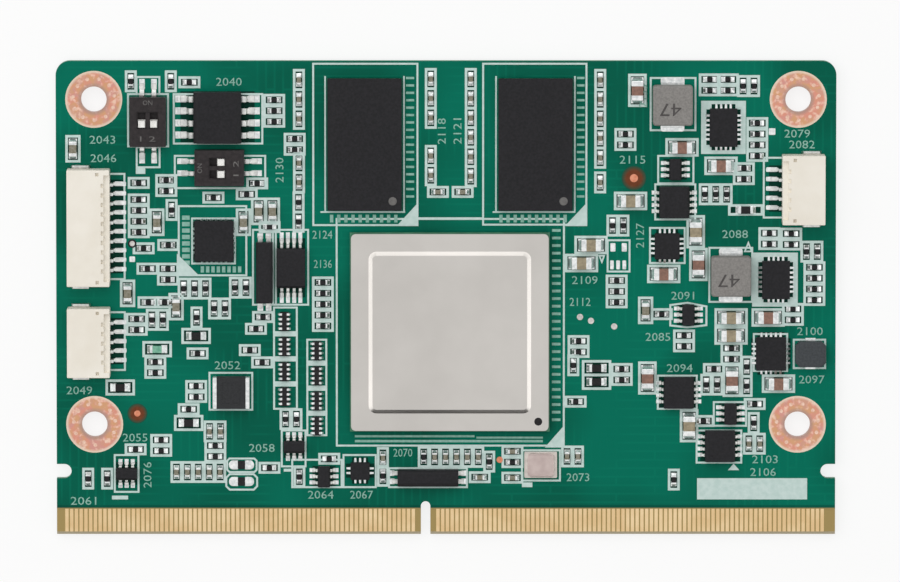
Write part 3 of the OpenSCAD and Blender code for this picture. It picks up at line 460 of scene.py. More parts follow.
# fired alumina: pale and matt
paleCeramic = grainMaterial("paleAlumina", "#ded6cf", "#cdc4bd", 0.5, 0.5)
# drawn and brushed steel lid of the oscillator: warm silver, slightly uneven
canLid = grainMaterial("brushedCanLid", "#c9b9b4", "#b8a6a2", 1.2, 0.4, 1.0)
# ground silicon: dark grey and smooth
silicon = grainMaterial("groundSilicon", "#5b5e63", "#4d5055", 0.5, 0.25, 0.6)
# marking ink, stamped: flat grey
greyInk = grainMaterial("greyMarkingInk", "#6b6967", "#5c5a59", 0.4, 0.6)
# the thin strokes of the place numbers, where the green shows through the ink
thinInk = grainMaterial("thinScreenInk", "#9cc4b6", "#82b3a3", 0.4, 0.6, shine=0.15)
# dull tin on the bare pads, hot-air levelled
dullTin = grainMaterial("levelledTin", "#dcd7d3", "#bdb7b4", 0.3, 0.4, 1.0)
# stitching holes plated with the rings: a paler copper at their rims
stitchTin = grainMaterial("stitchedVias", "#f0d0bc", "#dfb49f", 0.25, 0.4, 1.0)
# darker ink, stamped on the inductors
darkInk = grainMaterial("darkMarkingInk", "#565352", "#4a4746", 0.4, 0.6, shine=0.2)
# bare copper, warm from the reflow oven
bareCopper = grainMaterial("bareCopper", "#e39a7c", "#cf7f60", 0.3, 0.4, 1.0)


# copper that has darkened round a test point: brown, fading into the green
copperSpots = {  # radius of the halo and of the dot
    (19.75, 12.65): (1.3, 0.43), (-32.5, -12.2): (1.05, 0.33), (5.65, -17.1): (0, 0.33)}


def makeTarnish():
    material, tree, shader, place = startMaterial("tarnishedCopperHalo", 0.5, shine=0.1)
    noise = addNode(tree, "TexNoise", {"Vector": place, "Scale": 1 / (0.4 * mm), "Detail": 3})
    brown = addNode(tree, "Mix", {0: noise.outputs[0], 6: linear("#5c2e1d"), 7: linear("#7d4a2f")},
                    data_type="RGBA").outputs[2]
    for (x, y), (wide, dot) in copperSpots.items():
        if wide:
            apart = addNode(tree, "VectorMath", {0: place, 1: (x * mm, y * mm, boardTop * mm)},
                            operation="DISTANCE").outputs[1]
            ring = addNode(tree, "MapRange", {0: apart, 1: 0.6 * wide * mm, 2: wide * mm}).outputs[0]
            far = addNode(tree, "Math", {0: apart, 1: 2 * wide * mm}, operation="LESS_THAN").outputs[0]
            share = addNode(tree, "Math", {0: ring, 1: far}, operation="MULTIPLY").outputs[0]
            brown = addNode(tree, "Mix", {0: share, 6: brown, 7: linear("#0c5241")},
                            data_type="RGBA").outputs[2]
    tree.links.new(brown, shader.inputs["Base Color"])
    return material


tarnish = makeTarnish()
print("materials made:", len(bpy.data.materials))


# camera, floor and light

camera = {"target": (0.42, 0.743, 1.2), "elevation": 95, "lens": 420, "sensor": 36, "frameWidth": 94.68}


def makeCamera():
    tilt = math.radians(camera["elevation"])
    back = Vector((0, -math.cos(tilt), math.sin(tilt)))
    away = camera["frameWidth"] * camera["lens"] / camera["sensor"]
    data = bpy.data.cameras.new("photoCamera")
    data.lens = camera["lens"]
    data.sensor_width = camera["sensor"]
    data.clip_start, data.clip_end = 0.01, 10
    made = bpy.data.objects.new("photoCamera", data)
    bpy.context.scene.collection.objects.link(made)
    made.location = (Vector(camera["target"]) + back * away) * mm
    made.rotation_euler = (math.pi / 2 - tilt, 0, 0)
    bpy.context.scene.camera = made


studio = {"floorSide": 2.0, "floorDrop": 0.0003, "world": 0.4, "keyPower": 3.5, "keyPlace": (-0.15, 0.2, 0.6),
          "keySide": 0.9, "strips": 2.0, "stripBand": (0.5, 0.25), "behindBand": (-0.8, -0.5), "behind": 0.03,
          "aboveBand": (0.35, 0.5), "floorGlow": 0.8}


def makeStudio():
    deselect()
    bpy.ops.mesh.primitive_plane_add(size=studio["floorSide"], location=(0, 0, -studio["floorDrop"]))
    floor = bpy.context.object
    floor.name = "paleFloor"
    paper, tree, shader = startMaterial("whitePaperSweep", 0.9)[:3]
    shader.inputs["Base Color"].default_value = linear("#fbfbfa")
    path = addNode(tree, "LightPath")
    seen = addNode(tree, "Math", {0: path.outputs["Is Camera Ray"], 1: path.outputs["Is Glossy Ray"]},
                   operation="MAXIMUM").outputs[0]
    seen = addNode(tree, "Math", {0: seen, 1: path.outputs["Is Transmission Ray"]},
                   operation="MAXIMUM").outputs[0]
    share = addNode(tree, "Math", {0: seen, 1: studio["floorGlow"]}, operation="MULTIPLY").outputs[0]
    white = addNode(tree, "Emission", {"Color": (1, 1, 1, 1), "Strength": 1.0})
    both = addNode(tree, "MixShader", {0: share, 1: shader.outputs[0], 2: white.outputs[0]})
    tree.links.new(both.outputs[0], tree.nodes["Material Output"].inputs["Surface"])
    floor.data.materials.append(paper)

    world = bpy.data.worlds.new("softStudio")
    bpy.context.scene.world = world
    world.use_nodes = True
    tree = world.node_tree
    path = addNode(tree, "LightPath")
    direction = addNode(tree, "SeparateXYZ",
                        {0: addNode(tree, "TexCoord").outputs["Generated"]})
    # low down the side behind the camera is dark, and on the other sides stand bright strips
    (stripTop, stripFoot), (darkest, darkEnd) = studio["stripBand"], studio["behindBand"]
    strips = addNode(tree, "MapRange", {0: direction.outputs[2], 1: stripTop, 2: stripFoot, 3: 1.0,
                                        4: studio["strips"]}).outputs[0]
    dark = addNode(tree, "MapRange", {0: direction.outputs[1], 1: darkest, 2: darkEnd, 3: studio["behind"],
                                      4: 1.0}).outputs[0]
    above = addNode(tree, "MapRange", {0: direction.outputs[2], 1: studio["aboveBand"][0],
                                       2: studio["aboveBand"][1]}).outputs[0]
    dark = addNode(tree, "Math", {0: dark, 1: above}, operation="MAXIMUM").outputs[0]
    room = addNode(tree, "Math", {0: strips, 1: dark}, operation="MULTIPLY").outputs[0]
    glossy = addNode(tree, "Math",
                     {0: path.outputs["Is Glossy Ray"], 1: path.outputs["Is Transmission Ray"]},
                     operation="MAXIMUM").outputs[0]
    soft = addNode(tree, "Mix", {0: glossy, 2: studio["world"], 3: room}).outputs[0]
    level = addNode(tree, "Mix", {0: path.outputs["Is Camera Ray"], 2: soft, 3: 1.0}).outputs[0]
    tree.links.new(level, tree.nodes["Background"].inputs["Strength"])
    tree.nodes["Background"].inputs["Color"].default_value = (1, 1, 1, 1)

    lamp = bpy.data.lights.new("overheadSoftbox", "AREA")
    lamp.energy = studio["keyPower"]
    lamp.size = studio["keySide"]
    holder = bpy.data.objects.new("overheadSoftbox", lamp)
    bpy.context.scene.collection.objects.link(holder)
    holder.location = studio["keyPlace"]
    holder.visible_glossy = False  # the white walls are what shiny faces mirror
    holder.rotation_mode = "QUATERNION"
    holder.rotation_quaternion = (-Vector(studio["keyPlace"])).to_track_quat("-Z", "Y")


makeCamera()
makeStudio()
bpy.context.scene.view_settings.view_transform = "Standard"
print("camera, floor and light set")


# CAD nodes that show as they are

plainNodes = {
    "board": solderMask, "front_contacts": contactGold, "back_contacts": contactGold,
    "mount_hole_eyelets": ringCopper, "processor_substrate": carrierLaminate,
    "processor_die": silicon, "processor_balls": solderTin,
    "memory_left_substrate": carrierLaminate, "memory_right_substrate": carrierLaminate,
    "memory_left_balls": solderTin, "memory_right_balls": solderTin,
}
for nodeName, material in plainNodes.items():
    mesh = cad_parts[nodeName].data
    mesh.materials.clear()
    mesh.materials.append(material)


# processor lid: stamped, with a raised field that has sloped sides

inkRound = 0.004  # soft edge of an ink mark
lid = {"field": 17.1, "rise": 0.36, "slope": 0.45, "fieldRound": 0.85, "root": 0.2, "cornerRound": 0.5,
       "edgeRound": 0.06, "hollow": 14.9, "markPlace": (9.7, -12.9), "markRound": 0.42, "markThick": 0.012}


def makeLid():
    low, high = nodeBox("processor_lid")
    x, y = (low[0] + high[0]) / 2, (low[1] + high[1]) / 2
    side = high[0] - low[0]
    rimTop = high[2] - lid["rise"]
    rim = startBlock("processorLid", (side, side, rimTop - low[2]), (x, y, low[2]))
    roundEdges(rim, lid["cornerRound"], 4, upright)
    roundEdges(rim, lid["edgeRound"], 2, edgesAbove(rimTop - hair))
    # the field starts inside the rim, so that the two grow into one stamping
    field = startBlock("field", (lid["field"], lid["field"], lid["root"]),
                       (x, y, rimTop - lid["root"] - hair))
    roundEdges(field, lid["fieldRound"], 6, upright)
    pickFaces(field, facingUp)
    bpy.ops.mesh.inset(thickness=lid["slope"] * mm, depth=(lid["rise"] + hair) * mm)
    closeEdit()
    roundEdges(field, lid["edgeRound"], 2, edgesAbove(high[2] - hair))
    cutAway(rim, field, "UNION")
    dieTop = nodeBox("processor_die")[1][2]  # the die fills the height of the hollow
    hollow = (lid["hollow"], lid["hollow"], dieTop - low[2] + 1)
    cutAway(rim, startBlock("cutter", hollow, (x, y, low[2] - 1)))
    finishPiece(rim, lidNickel, "nickel_lid", "processor_lid")
    mark = startRound("processorPinMark", lid["markRound"], lid["markThick"], (*lid["markPlace"], rimTop), 32)
    roundEdges(mark, inkRound, 1, edgesAbove(rimTop + lid["markThick"] / 2))
    finishPiece(mark, resistorGlaze, "black_mould")


makeLid()


# memory chips: a moulded block with a moulded pin mark

memory = {"round": 0.08, "markRound": 0.45, "markDeep": 0.03, "markThick": 0.01, "markIn": (0.95, 1.0)}


def makeMemory(name, nodeName):
    low, high = nodeBox(nodeName)
    piece = boxBlock(name, (low, high))
    roundEdges(piece, memory["round"], 2, edgesUpTo(low[2] + hair))
    spot = (high[0] - memory["markIn"][0], low[1] + memory["markIn"][1], high[2] - memory["markDeep"])
    cutAway(piece, startRound("cutter", memory["markRound"], 1, spot, 32))
    finishPiece(piece, mouldEpoxy, "black_mould", nodeName)
    mark = startRound(name + "PinMark", memory["markRound"] - hair, memory["markThick"], spot, 32)
    roundEdges(mark, inkRound, 1, edgesAbove(spot[2] + memory["markThick"] / 2))
    finishPiece(mark, greyInk, "black_mould")


makeMemory("leftMemoryMould", "memory_left_mould")
makeMemory("rightMemoryMould", "memory_right_mould")
print("processor and memory done")


# chip resistors and capacitors: each kind is modelled once and copied

chipKinds = {  # silk is the outer size of the printed frame
    "smallResistor": {"node": "resistor_bodies", "body": (0.5, 0.44, 0.29), "size": (1.0, 0.5, 0.35),
                      "cap": 0.25, "silk": (2.3, 1.25), "skin": resistorGlaze, "slot": "resistor_black"},
    "mediumResistor": {"node": "resistor_bodies", "body": (0.9, 0.74, 0.39), "size": (1.6, 0.8, 0.45),
                       "cap": 0.35, "silk": (3.1, 1.7), "skin": resistorGlaze, "slot": "resistor_black"},
    "smallCapacitor": {"node": "capacitor_bodies", "body": (0.5, 0.44, 0.44), "size": (1.0, 0.5, 0.5),
                       "cap": 0.25, "silk": (2.3, 1.25), "skin": greyCeramic, "slot": "brown_ceramic"},
    "mediumCapacitor": {"node": "capacitor_bodies", "body": (0.8, 0.74, 0.74), "size": (1.6, 0.8, 0.8),
                        "cap": 0.4, "silk": (2.9, 1.6), "skin": greyCeramic, "slot": "brown_ceramic"},
    "largeCapacitor": {"node": "capacitor_bodies", "body": (1.1, 1.19, 1.04), "size": (2.1, 1.25, 1.1),
                       "cap": 0.5, "dip": 0.6, "silk": (3.5, 1.95), "skin": brownCeramic,
                       "slot": "brown_ceramic"},
}
chip = {"match": 0.02, "bodyIn": 0.12, "bodySlim": 0.04, "bodyLift": 0.01, "bodyRound": 0.03,
        "endRound": 0.05, "padThick": 0.03, "padRound": 0.012, "padPast": 0.05, "padWide": 0.06,
        "reach": 0.12, "reachShare": 0.14, "filletWide": 0.9, "filletHigh": 0.6, "filletLift": 0.02,
        "toe": (1, 0.8, 0.12)}


def chipPlaces(kind):
    places = []
    along, across, tall = kind["body"]
    for box in islandBoxes(kind["node"]):
        size, middle = sizeOf(box), middleOf(box)
        for turn, wanted in ((0, (along, across, tall)), (90, (across, along, tall))):
            if all(abs(a - b) < chip["match"] for a, b in zip(size, wanted)):
                places.append((middle[0], middle[1], boardTop, turn))
    return places


def chipBody(kind):
    length, width, height = kind["size"]
    size = (length - chip["bodyIn"], width - chip["bodySlim"], height - 2 * chip["bodyLift"])
    piece = startBlock("body", size, (0, 0, chip["bodyLift"]))
    roundEdges(piece, chip["bodyRound"], 1)
    return piece


def chipEnds(kind):
    length, width, height = kind["size"]
    cap = kind.get("dip", kind["cap"])
    ends = []
    for side in (-1, 1):
        end = startBlock("end", (cap, width, height), (side * (length - cap) / 2, 0, 0))
        roundEdges(end, chip["endRound"], 1, edgesUpTo(hair))
        ends.append(end)
    return joinPieces("ends", ends)


def chipSolder(kind):  # a fillet that climbs the end, on a tinned pad
    length, width, height = kind["size"]
    cap, reach = kind["cap"], chip["reach"] + chip["reachShare"] * width
    parts = []
    for side in (-1, 1):
        edge = side * length / 2
        pad = startBlock("pad", (cap + reach + chip["padPast"], width + chip["padWide"], chip["padThick"]),
                         (edge + side * (reach - cap) / 2, 0, 0))
        roundEdges(pad, chip["padRound"], 1, edgesAbove(chip["padThick"] - hair))
        fillet = startBlock("fillet", (reach, width * chip["filletWide"], height * chip["filletHigh"]),
                            (edge + side * reach / 2, 0, chip["filletLift"]))
        taperFaces(fillet, lambda middle, normal: normal[0] * side > 0.9, chip["toe"],
                   (edge + side * reach, 0, chip["padThick"]))
        parts += [pad, fillet]
    return joinPieces("solder", parts)


tanSpots = [(30, -3.95), (30, -2.05), (26.25, 7.0), (25.6, -13.5), (13.9, 3.8), (15.3, 5.6), (19.6, 10.1)]
lampSpot = (-30.4, -5.4)
greyColumns = [(-15.5, 10.5, 25), (-1.7, 12, 25), (2.45, 12, 25), (16.1, 10, 25)]  # x, and y from and to
otherMakes = {  # chips that look different from their kind, by place
    "largeCapacitor": ("tanCapacitorBodies", tanCeramic,
                       lambda x, y: any(math.hypot(x - u, y - v) < 0.8 for u, v in tanSpots)),
    "smallResistor": ("greyChipBodies", greyCeramic,
                      lambda x, y: any(abs(x - u) < 0.4 and low < y < high for u, low, high in greyColumns)),
    "mediumResistor": ("lampBody", lampEpoxy,
                       lambda x, y: math.hypot(x - lampSpot[0], y - lampSpot[1]) < 0.6),
}
chipSpots, chipSolders = {}, []
for kindName, kind in chipKinds.items():
    spots = places = chipSpots[kindName] = chipPlaces(kind)
    bodyModel, endModel, solderModel = chipBody(kind), chipEnds(kind), chipSolder(kind)
    if kindName in otherMakes:
        name, material, test = otherMakes[kindName]
        others = [p for p in spots if test(*p[:2])]
        places = [p for p in spots if p not in others]
        print(name, len(others))
        finishPiece(copyModel(bodyModel, others, name), material, "brown_ceramic", kind["node"])
    bodies = copyModel(bodyModel, places, kindName + "Bodies")
    ends = copyModel(endModel, spots, kindName + "Ends")
    chipSolders.append(copyModel(solderModel, spots, kindName + "Solder"))
    dropModel(bodyModel, endModel, solderModel)
    finishPiece(bodies, kind["skin"], kind["slot"], kind["node"])
    finishPiece(ends, solderTin, "tinned_metal", kind["node"].replace("bodies", "caps"))
    print(kindName, len(spots))
finishPiece(joinPieces("chipSolder", chipSolders), solderTin, "solder")


# wire sockets: the mouth is at x = 0 and the tails lie at +X before a socket is put in its place

socket = {"depth": 4.5, "high": 2.9, "wall": 0.55, "back": 0.9, "end": 1.65, "pitch": 1.0, "pin": 0.34,
          "tail": 1.2, "pinFree": 2.4, "clear": 0.02, "step": 0.5, "stepWide": 0.62, "stepEnd": 0.55,
          "notchLong": 0.36, "notchWide": 0.44, "notchIn": 0.1, "notchShare": 0.7, "holeSide": 0.34,
          "holeAt": 3.2, "holeIn": 0.47, "holeDeep": 0.4, "round": 0.09, "mouthRound": 0.04, "pinRound": 0.05,
          "padAt": 0.45, "padPast": 0.05, "padWide": 0.48, "padThick": 0.05, "padRound": 0.1, "padEdge": 0.02,
          "tab": (2.1, 0.35, 0.9), "tabAt": 1.4, "tabTaper": 0.82}
leadThick, leadRound = 0.15, 0.033  # of the sheet that all leads are cut from


def makeSocket(prefix, node, ways, place, turn):
    depth, high, wall, back, pinSide = (socket[key] for key in ("depth", "high", "wall", "back", "pin"))
    length = (ways - 1) * socket["pitch"] + 2 * socket["end"]
    rows = [(i - (ways - 1) / 2) * socket["pitch"] for i in range(ways)]
    housing = startBlock(prefix + "Housing", (depth, length, high), (depth / 2, 0, 0))
    roundEdges(housing, socket["round"], 2)
    cutAway(housing, startBlock("cutter", (depth - back + 1, length - 2 * wall, high - 2 * wall),
                                ((depth - back - 1) / 2, 0, wall)))
    slotHigh = high / 2 + pinSide / 2 + socket["clear"]
    slots = [startBlock("cutter", (back + 0.3, pinSide + 2 * socket["clear"], slotHigh + 1),
                        (depth - back / 2 + 0.1, row, -1)) for row in rows]
    cutAway(housing, joinPieces("cutter", slots))
    # a low ledge along the back with a comb of notches above the pins, and a square hole near each end
    step, stepWide = socket["step"], socket["stepWide"]
    cutAway(housing, startBlock("cutter", (stepWide + 1, length - 2 * socket["stepEnd"], step + 1),
                                (depth - stepWide + (stepWide + 1) / 2, 0, high - step)))
    notchDeep = step * socket["notchShare"]
    comb = [startBlock("cutter", (socket["notchLong"], socket["notchWide"], notchDeep + 1),
                       (depth - stepWide - socket["notchIn"], row, high - notchDeep)) for row in rows]
    holes = [startBlock("cutter", (socket["holeSide"], socket["holeSide"], socket["holeDeep"] + 1),
                        (socket["holeAt"], side * (length / 2 - socket["holeIn"]), high - socket["holeDeep"]))
             for side in (-1, 1)]
    cutAway(housing, joinPieces("cutter", comb + holes))
    roundEdges(housing, socket["mouthRound"], 1, lambda a, b: max(a[0], b[0]) < 0.001)

    # a pin grows from its tail up the back of the housing and in through the wall
    top, tailEnd, dropIn = high / 2 + pinSide / 2, depth + socket["tail"], depth + socket["clear"]
    dropOut = dropIn + pinSide
    pin = startBlock("pin", (tailEnd - dropOut, pinSide, leadThick), ((tailEnd + dropOut) / 2, 0, 0))
    extrudeFaces(pin, lambda middle, normal: normal[0] < -0.9, (-pinSide, 0, 0))
    for rise in (top - pinSide - leadThick, pinSide):
        extrudeFaces(pin, lambda middle, normal: normal[2] > 0.9 and middle[0] < dropOut, (0, 0, rise))
    extrudeFaces(pin, lambda middle, normal: normal[0] < -0.9 and middle[2] > top - pinSide,
                 (depth - back - socket["pinFree"] - dropIn, 0, 0))
    roundEdges(pin, socket["pinRound"], 2)
    pad = startBlock("pad", (socket["tail"] + socket["padPast"], socket["padWide"], socket["padThick"]),
                     (depth + socket["padAt"] + socket["tail"] / 2, 0, 0))
    roundEdges(pad, socket["padRound"], 2, upright)
    roundEdges(pad, socket["padEdge"], 1, edgesAbove(socket["padThick"] - hair))
    inRow = [(0, row, 0, 0) for row in rows]
    pads = copyModel(pad, inRow, prefix + "TailPads")
    pins = copyModel(pin, inRow, prefix + "Pins")

    thick, tabHigh = socket["tab"][1:]
    tab = startBlock("tab", socket["tab"], (socket["tabAt"], thick / 2, 0))
    taperFaces(tab, facingUp, (socket["tabTaper"], 1, 1), (socket["tabAt"], thick / 2, tabHigh))
    roundEdges(tab, socket["pinRound"], 2)
    tabs = copyModel(tab, [(0, length / 2, 0, 0), (0, -length / 2 - thick, 0, 0)], prefix + "Tabs")
    dropModel(pin, pad, tab)
    for piece in (housing, pads, pins, tabs):
        piece.data.transform(seatAt(*place, boardTop, turn))
    finishPiece(pads, solderTin, "solder")
    finishPiece(housing, socketNylon, "ivory_nylon", node + "_housing")
    finishPiece(pins, leadTin, "tinned_metal", node + "_pins")
    finishPiece(tabs, leadTin, "tinned_metal", node + "_tabs")


makeSocket("tenWay", "ten_way", 10, (-39.8, 7.55), 0)
makeSocket("leftFiveWay", "left_five_way", 5, (-39.8, -4.55), 0)
makeSocket("rightFiveWay", "right_five_way", 5, (39.8, 11.55), 180)
print("sockets done")


# leaded chips: moulded bodies, bent leads and the solder at their toes

toe = {"under": 0.45, "padWide": 0.1, "padThick": 0.03, "padRound": 0.014, "dropShare": 0.7, "dropWide": 0.95,
       "dropHigh": 0.13, "dropLift": 0.02, "taper": (1, 0.8, 0.15)}


def gullLead(reach, rise, width):
    knee, bend = reach / 3, reach / 2
    piece = startBlock("lead", (reach - bend, width, leadThick), ((reach + bend) / 2, 0, 0))
    # the lower edge of the bend lies further in, so that the bend keeps its thickness
    pickEdges(piece, lambda a, b: max(a[0], b[0]) < bend + 0.001 and max(a[2], b[2]) < 0.001)
    bpy.ops.transform.translate(value=(-leadThick * mm, 0, 0))
    closeEdit()
    inner = lambda middle, normal: normal[0] < -0.5 and normal[2] > 0.3
    extrudeFaces(piece, inner, (knee - bend, 0, rise - leadThick))
    extrudeFaces(piece, inner, (-knee, 0, 0))
    roundEdges(piece, leadRound, 1)
    return piece


def toeSolder(reach, width, past):  # a tinned pad with a low fillet at the toe
    under, drop = reach * toe["under"], past * toe["dropShare"]
    pad = startBlock("pad", (under + past, width + toe["padWide"], toe["padThick"]),
                     (reach - under + (under + past) / 2, 0, 0))
    roundEdges(pad, toe["padRound"], 1, edgesAbove(toe["padThick"] - hair))
    bead = startBlock("bead", (drop, width * toe["dropWide"], toe["dropHigh"]),
                      (reach + drop / 2, 0, toe["dropLift"]))
    taperFaces(bead, lambda middle, normal: normal[0] > 0.9, toe["taper"], (reach + drop, 0, toe["padThick"]))
    return joinPieces("solder", [pad, bead])


def leadPlaces(leadNode, bodyNode):  # root of each lead at its body's side, and the way it points
    bodies = islandBoxes(bodyNode)
    places = []
    for box in islandBoxes(leadNode):
        middle = middleOf(box)
        body = min(bodies, key=lambda b: max(max(b[0][k] - middle[k], middle[k] - b[1][k]) for k in (0, 1)))
        if middle[0] > body[1][0]:
            places.append((body[1][0], middle[1], boardTop, 0))
        elif middle[0] < body[0][0]:
            places.append((body[0][0], middle[1], boardTop, 180))
        elif middle[1] > body[1][1]:
            places.append((middle[0], body[1][1], boardTop, 90))
        else:
            places.append((middle[0], body[0][1], boardTop, 270))
    return places


dimple = {"in": (0.22, 0.2), "deep": 0.04}  # as shares of the body, and in mm


def mouldedBody(box, shoulder, turned, edge, mark=0.0):
    size, top = sizeOf(box), box[1][2]
    piece = boxBlock("body", box)
    axis = 1 if turned else 0  # the shoulder slopes on the two sides that carry the leads
    if shoulder:
        roundEdges(piece, shoulder, 1,
                   lambda a, b: min(a[2], b[2]) > top - hair and abs(a[axis] - b[axis]) < hair)
    roundEdges(piece, edge, 1)
    if mark:  # a shallow dimple beside the first lead
        x, y = [box[0][k] + dimple["in"][k] * size[k] for k in (0, 1)]
        cutAway(piece, startRound("cutter", mark, 1, (x, y, top - dimple["deep"]), 20))
    return piece


leaded = {
    "flash": {"bodyNode": "flash_body", "leadNode": "flash_leads", "shoulder": 0.45, "turned": False,
              "reach": 1.4, "width": 0.635, "past": 0.55, "mark": 0.4},
    "eeprom": {"bodyNode": "eeprom_body", "leadNode": "eeprom_leads", "shoulder": 0.24, "turned": True,
               "reach": 1.05, "width": 0.325, "past": 0.6, "mark": 0.2},
    "transistor": {"bodyNode": "transistor_bodies", "leadNode": "transistor_leads", "shoulder": 0.25,
                   "turned": False, "reach": 0.5, "width": 0.325, "past": 0.3, "mark": 0.18},
    "smallLogic": {"bodyNode": "small_logic_bodies", "leadNode": "small_logic_leads", "shoulder": 0.22,
                   "turned": None, "reach": 0.6, "width": 0.325, "past": 0.3, "mark": 0.0},
}
leadedRound = 0.04
# plates of painted shade on the mask, by two corners: behind the sockets here, and the chips below add theirs
leadShades = [(-35.4, 2.6, -33.95, 12.5), (-35.4, -7.0, -33.95, -2.1), (33.95, 9.1, 35.4, 14.0)]


def makeLeaded(prefix, kind):
    places = leadPlaces(kind["leadNode"], kind["bodyNode"])
    bodies = []
    for box in islandBoxes(kind["bodyNode"]):
        turned = kind["turned"]
        if turned is None:  # the leads are on the long sides
            turned = sizeOf(box)[0] > sizeOf(box)[1]
        bodies.append(mouldedBody(box, kind["shoulder"], turned, leadedRound, kind["mark"]))
        out = [0.0, kind["reach"]] if turned else [kind["reach"], 0.0]
        # a plate of painted shade under the body and its leads
        leadShades.append((box[0][0] - out[0], box[0][1] - out[1], box[1][0] + out[0], box[1][1] + out[1]))
    rise = sizeOf(islandBoxes(kind["leadNode"])[0])[2]
    lead = gullLead(kind["reach"], rise, kind["width"])
    solder = toeSolder(kind["reach"], kind["width"], kind["past"])
    leads = copyModel(lead, places, prefix + "Leads")
    solders = copyModel(solder, places, prefix + "Solder")
    dropModel(lead, solder)
    finishPiece(joinPieces(prefix + "Bodies", bodies), mouldEpoxy, "black_mould", kind["bodyNode"])
    finishPiece(leads, leadTin, "tinned_metal", kind["leadNode"])
    finishPiece(solders, solderTin, "solder")


for prefix, kind in leaded.items():
    makeLeaded(prefix, kind)


# flat chips: a sawn block with a fringe of soldered pads

flatChip = {"padWide": 0.27, "padHigh": 0.22, "padTaper": (1, 0.85, 0.2), "padRound": 0.025, "round": 0.035,
            "mark": 0.16, "ground": 0.04, "corner": 0.15}


def makeFlatChips(prefix, bodyNode, padNode, past):
    bodies = []
    ground, corner = past + flatChip["ground"], -flatChip["corner"]
    for box in islandBoxes(bodyNode):
        bodies.append(mouldedBody(box, 0, False, flatChip["round"], flatChip["mark"]))
        # two plates of painted shade round the pads, each reaching out past two opposite sides
        for x, y in ((ground, corner), (corner, ground)):
            leadShades.append((box[0][0] - x, box[0][1] - y, box[1][0] + x, box[1][1] + y))
    pad = startBlock("pad", (past, flatChip["padWide"], flatChip["padHigh"]), (past / 2, 0, 0))
    taperFaces(pad, lambda middle, normal: normal[0] > 0.9, flatChip["padTaper"], (past, 0, 0))
    roundEdges(pad, flatChip["padRound"], 1, edgesUpTo(hair))
    pads = copyModel(pad, leadPlaces(padNode, bodyNode), prefix + "Pads")
    dropModel(pad)
    finishPiece(joinPieces(prefix + "Bodies", bodies), mouldEpoxy, "black_mould", bodyNode)
    finishPiece(pads, solderTin, "tinned_metal", padNode)


makeFlatChips("interface", "interface_body", "interface_pads", 0.18)
makeFlatChips("regulator", "regulator_bodies", "regulator_pads", 0.46)
print("flat chips done")


# slide switches: moulded cover with a recess, bent leads, and sliders with a dished top

slide = {"wide": 3.8, "long": 5.2, "base": 1.1, "cover": 0.6, "pitch": 1.27, "shift": 0.2, "travel": 0.8,
         "knob": 0.7, "clear": 0.06, "lead": 1.4, "leadWide": 0.5, "toePast": 0.45, "recess": 0.2,
         "round": 0.07, "baseRound": 0.05, "panels": ((2.05, 0.9), (-1.75, 1.0)), "panelIn": 0.8,
         "panelDeep": 0.05, "channel": 0.1, "channelDeep": 0.5, "foot": 0.4, "knobRound": 0.04,
         "dishRim": 0.1, "dishDeep": 0.05}


def makeSwitch(prefix, node, place, turn):
    wide, long, tall, shift = (slide[key] for key in ("wide", "long", "base", "shift"))
    top = tall + slide["cover"]
    slotWide = slide["knob"] + 2 * slide["clear"]
    slotLong = slotWide + slide["travel"]
    sides = [side * slide["pitch"] / 2 for side in (-1, 1)]
    cover = startBlock("cover", (wide, long, slide["cover"]), (0, 0, tall))
    roundEdges(cover, slide["round"], 2, edgesUpTo(tall + hair))
    recess = (slide["pitch"] + slotWide + slide["recess"], slotLong + slide["recess"], 1)
    cutAway(cover, startBlock("cutter", recess, (0, shift, top - slide["recess"])))
    slots = [startBlock("cutter", (slotWide, slotLong, 2), (x, shift, tall - 1)) for x in sides]
    cutAway(cover, joinPieces("cutter", slots))
    for y, deep in slide["panels"]:  # shallow panels above and below the sliders, as in the moulding
        panel = (wide - slide["panelIn"], deep, 1)
        cutAway(cover, startBlock("cutter", panel, (0, y, top - slide["panelDeep"])))
    base = startBlock("base", (wide, long, tall), (0, 0, 0))
    roundEdges(base, slide["baseRound"], 1, edgesUpTo(hair))
    channels = [startBlock("cutter", (slotWide + slide["channel"], slotLong + slide["channel"], 2),
                           (x, shift, tall - slide["channelDeep"])) for x in sides]
    cutAway(base, joinPieces("cutter", channels))
    lead = gullLead(slide["lead"], tall / 2, slide["leadWide"])
    solder = toeSolder(slide["lead"], slide["leadWide"], slide["toePast"])
    ends = [(x, end * long / 2, 0, 90 * end) for x in sides for end in (-1, 1)]
    leads = copyModel(lead, ends, "leads")
    solders = copyModel(solder, ends, "solders")
    dropModel(lead, solder)
    for piece, name in ((cover, "Cover"), (base, "Base"), (leads, "Leads"), (solders, "Solder")):
        piece.data.transform(seatAt(*place, boardTop, turn))
        piece.name = prefix + name
    finishPiece(cover, switchPlastic, "switch_plastic", node + "_cover")
    finishPiece(base, switchPlastic, "switch_plastic", node + "_base")
    finishPiece(leads, leadTin, "tinned_metal", node + "_leads")
    finishPiece(solders, solderTin, "solder")
    for number in (1, 2):
        sliderNode = f"{node}_slider_{number}"
        low, high = nodeBox(sliderNode)
        slider = boxBlock(f"{prefix}Slider{number}", (low, (high[0], high[1], low[2] + slide["foot"])))
        stepFaces(slider, (high[0] - low[0] - slide["knob"]) / 2, high[2] - low[2] - slide["foot"])
        roundEdges(slider, slide["knobRound"], 2, edgesUpTo(high[2] - hair))
        stepFaces(slider, slide["dishRim"], -slide["dishDeep"],
                  lambda middle, normal: facingUp(middle, normal) and middle[2] > high[2] - hair)
        finishPiece(slider, sliderAcetal, "white_slider", sliderNode, body=sliderNode)


makeSwitch("uprightSwitch", "upright_switch", (-31.3, 18.65), 0)
makeSwitch("turnedSwitch", "turned_switch", (-23.8, 13.8), 90)
print("switches done")


# crystals, oscillator, inductors, chokes and resistor networks

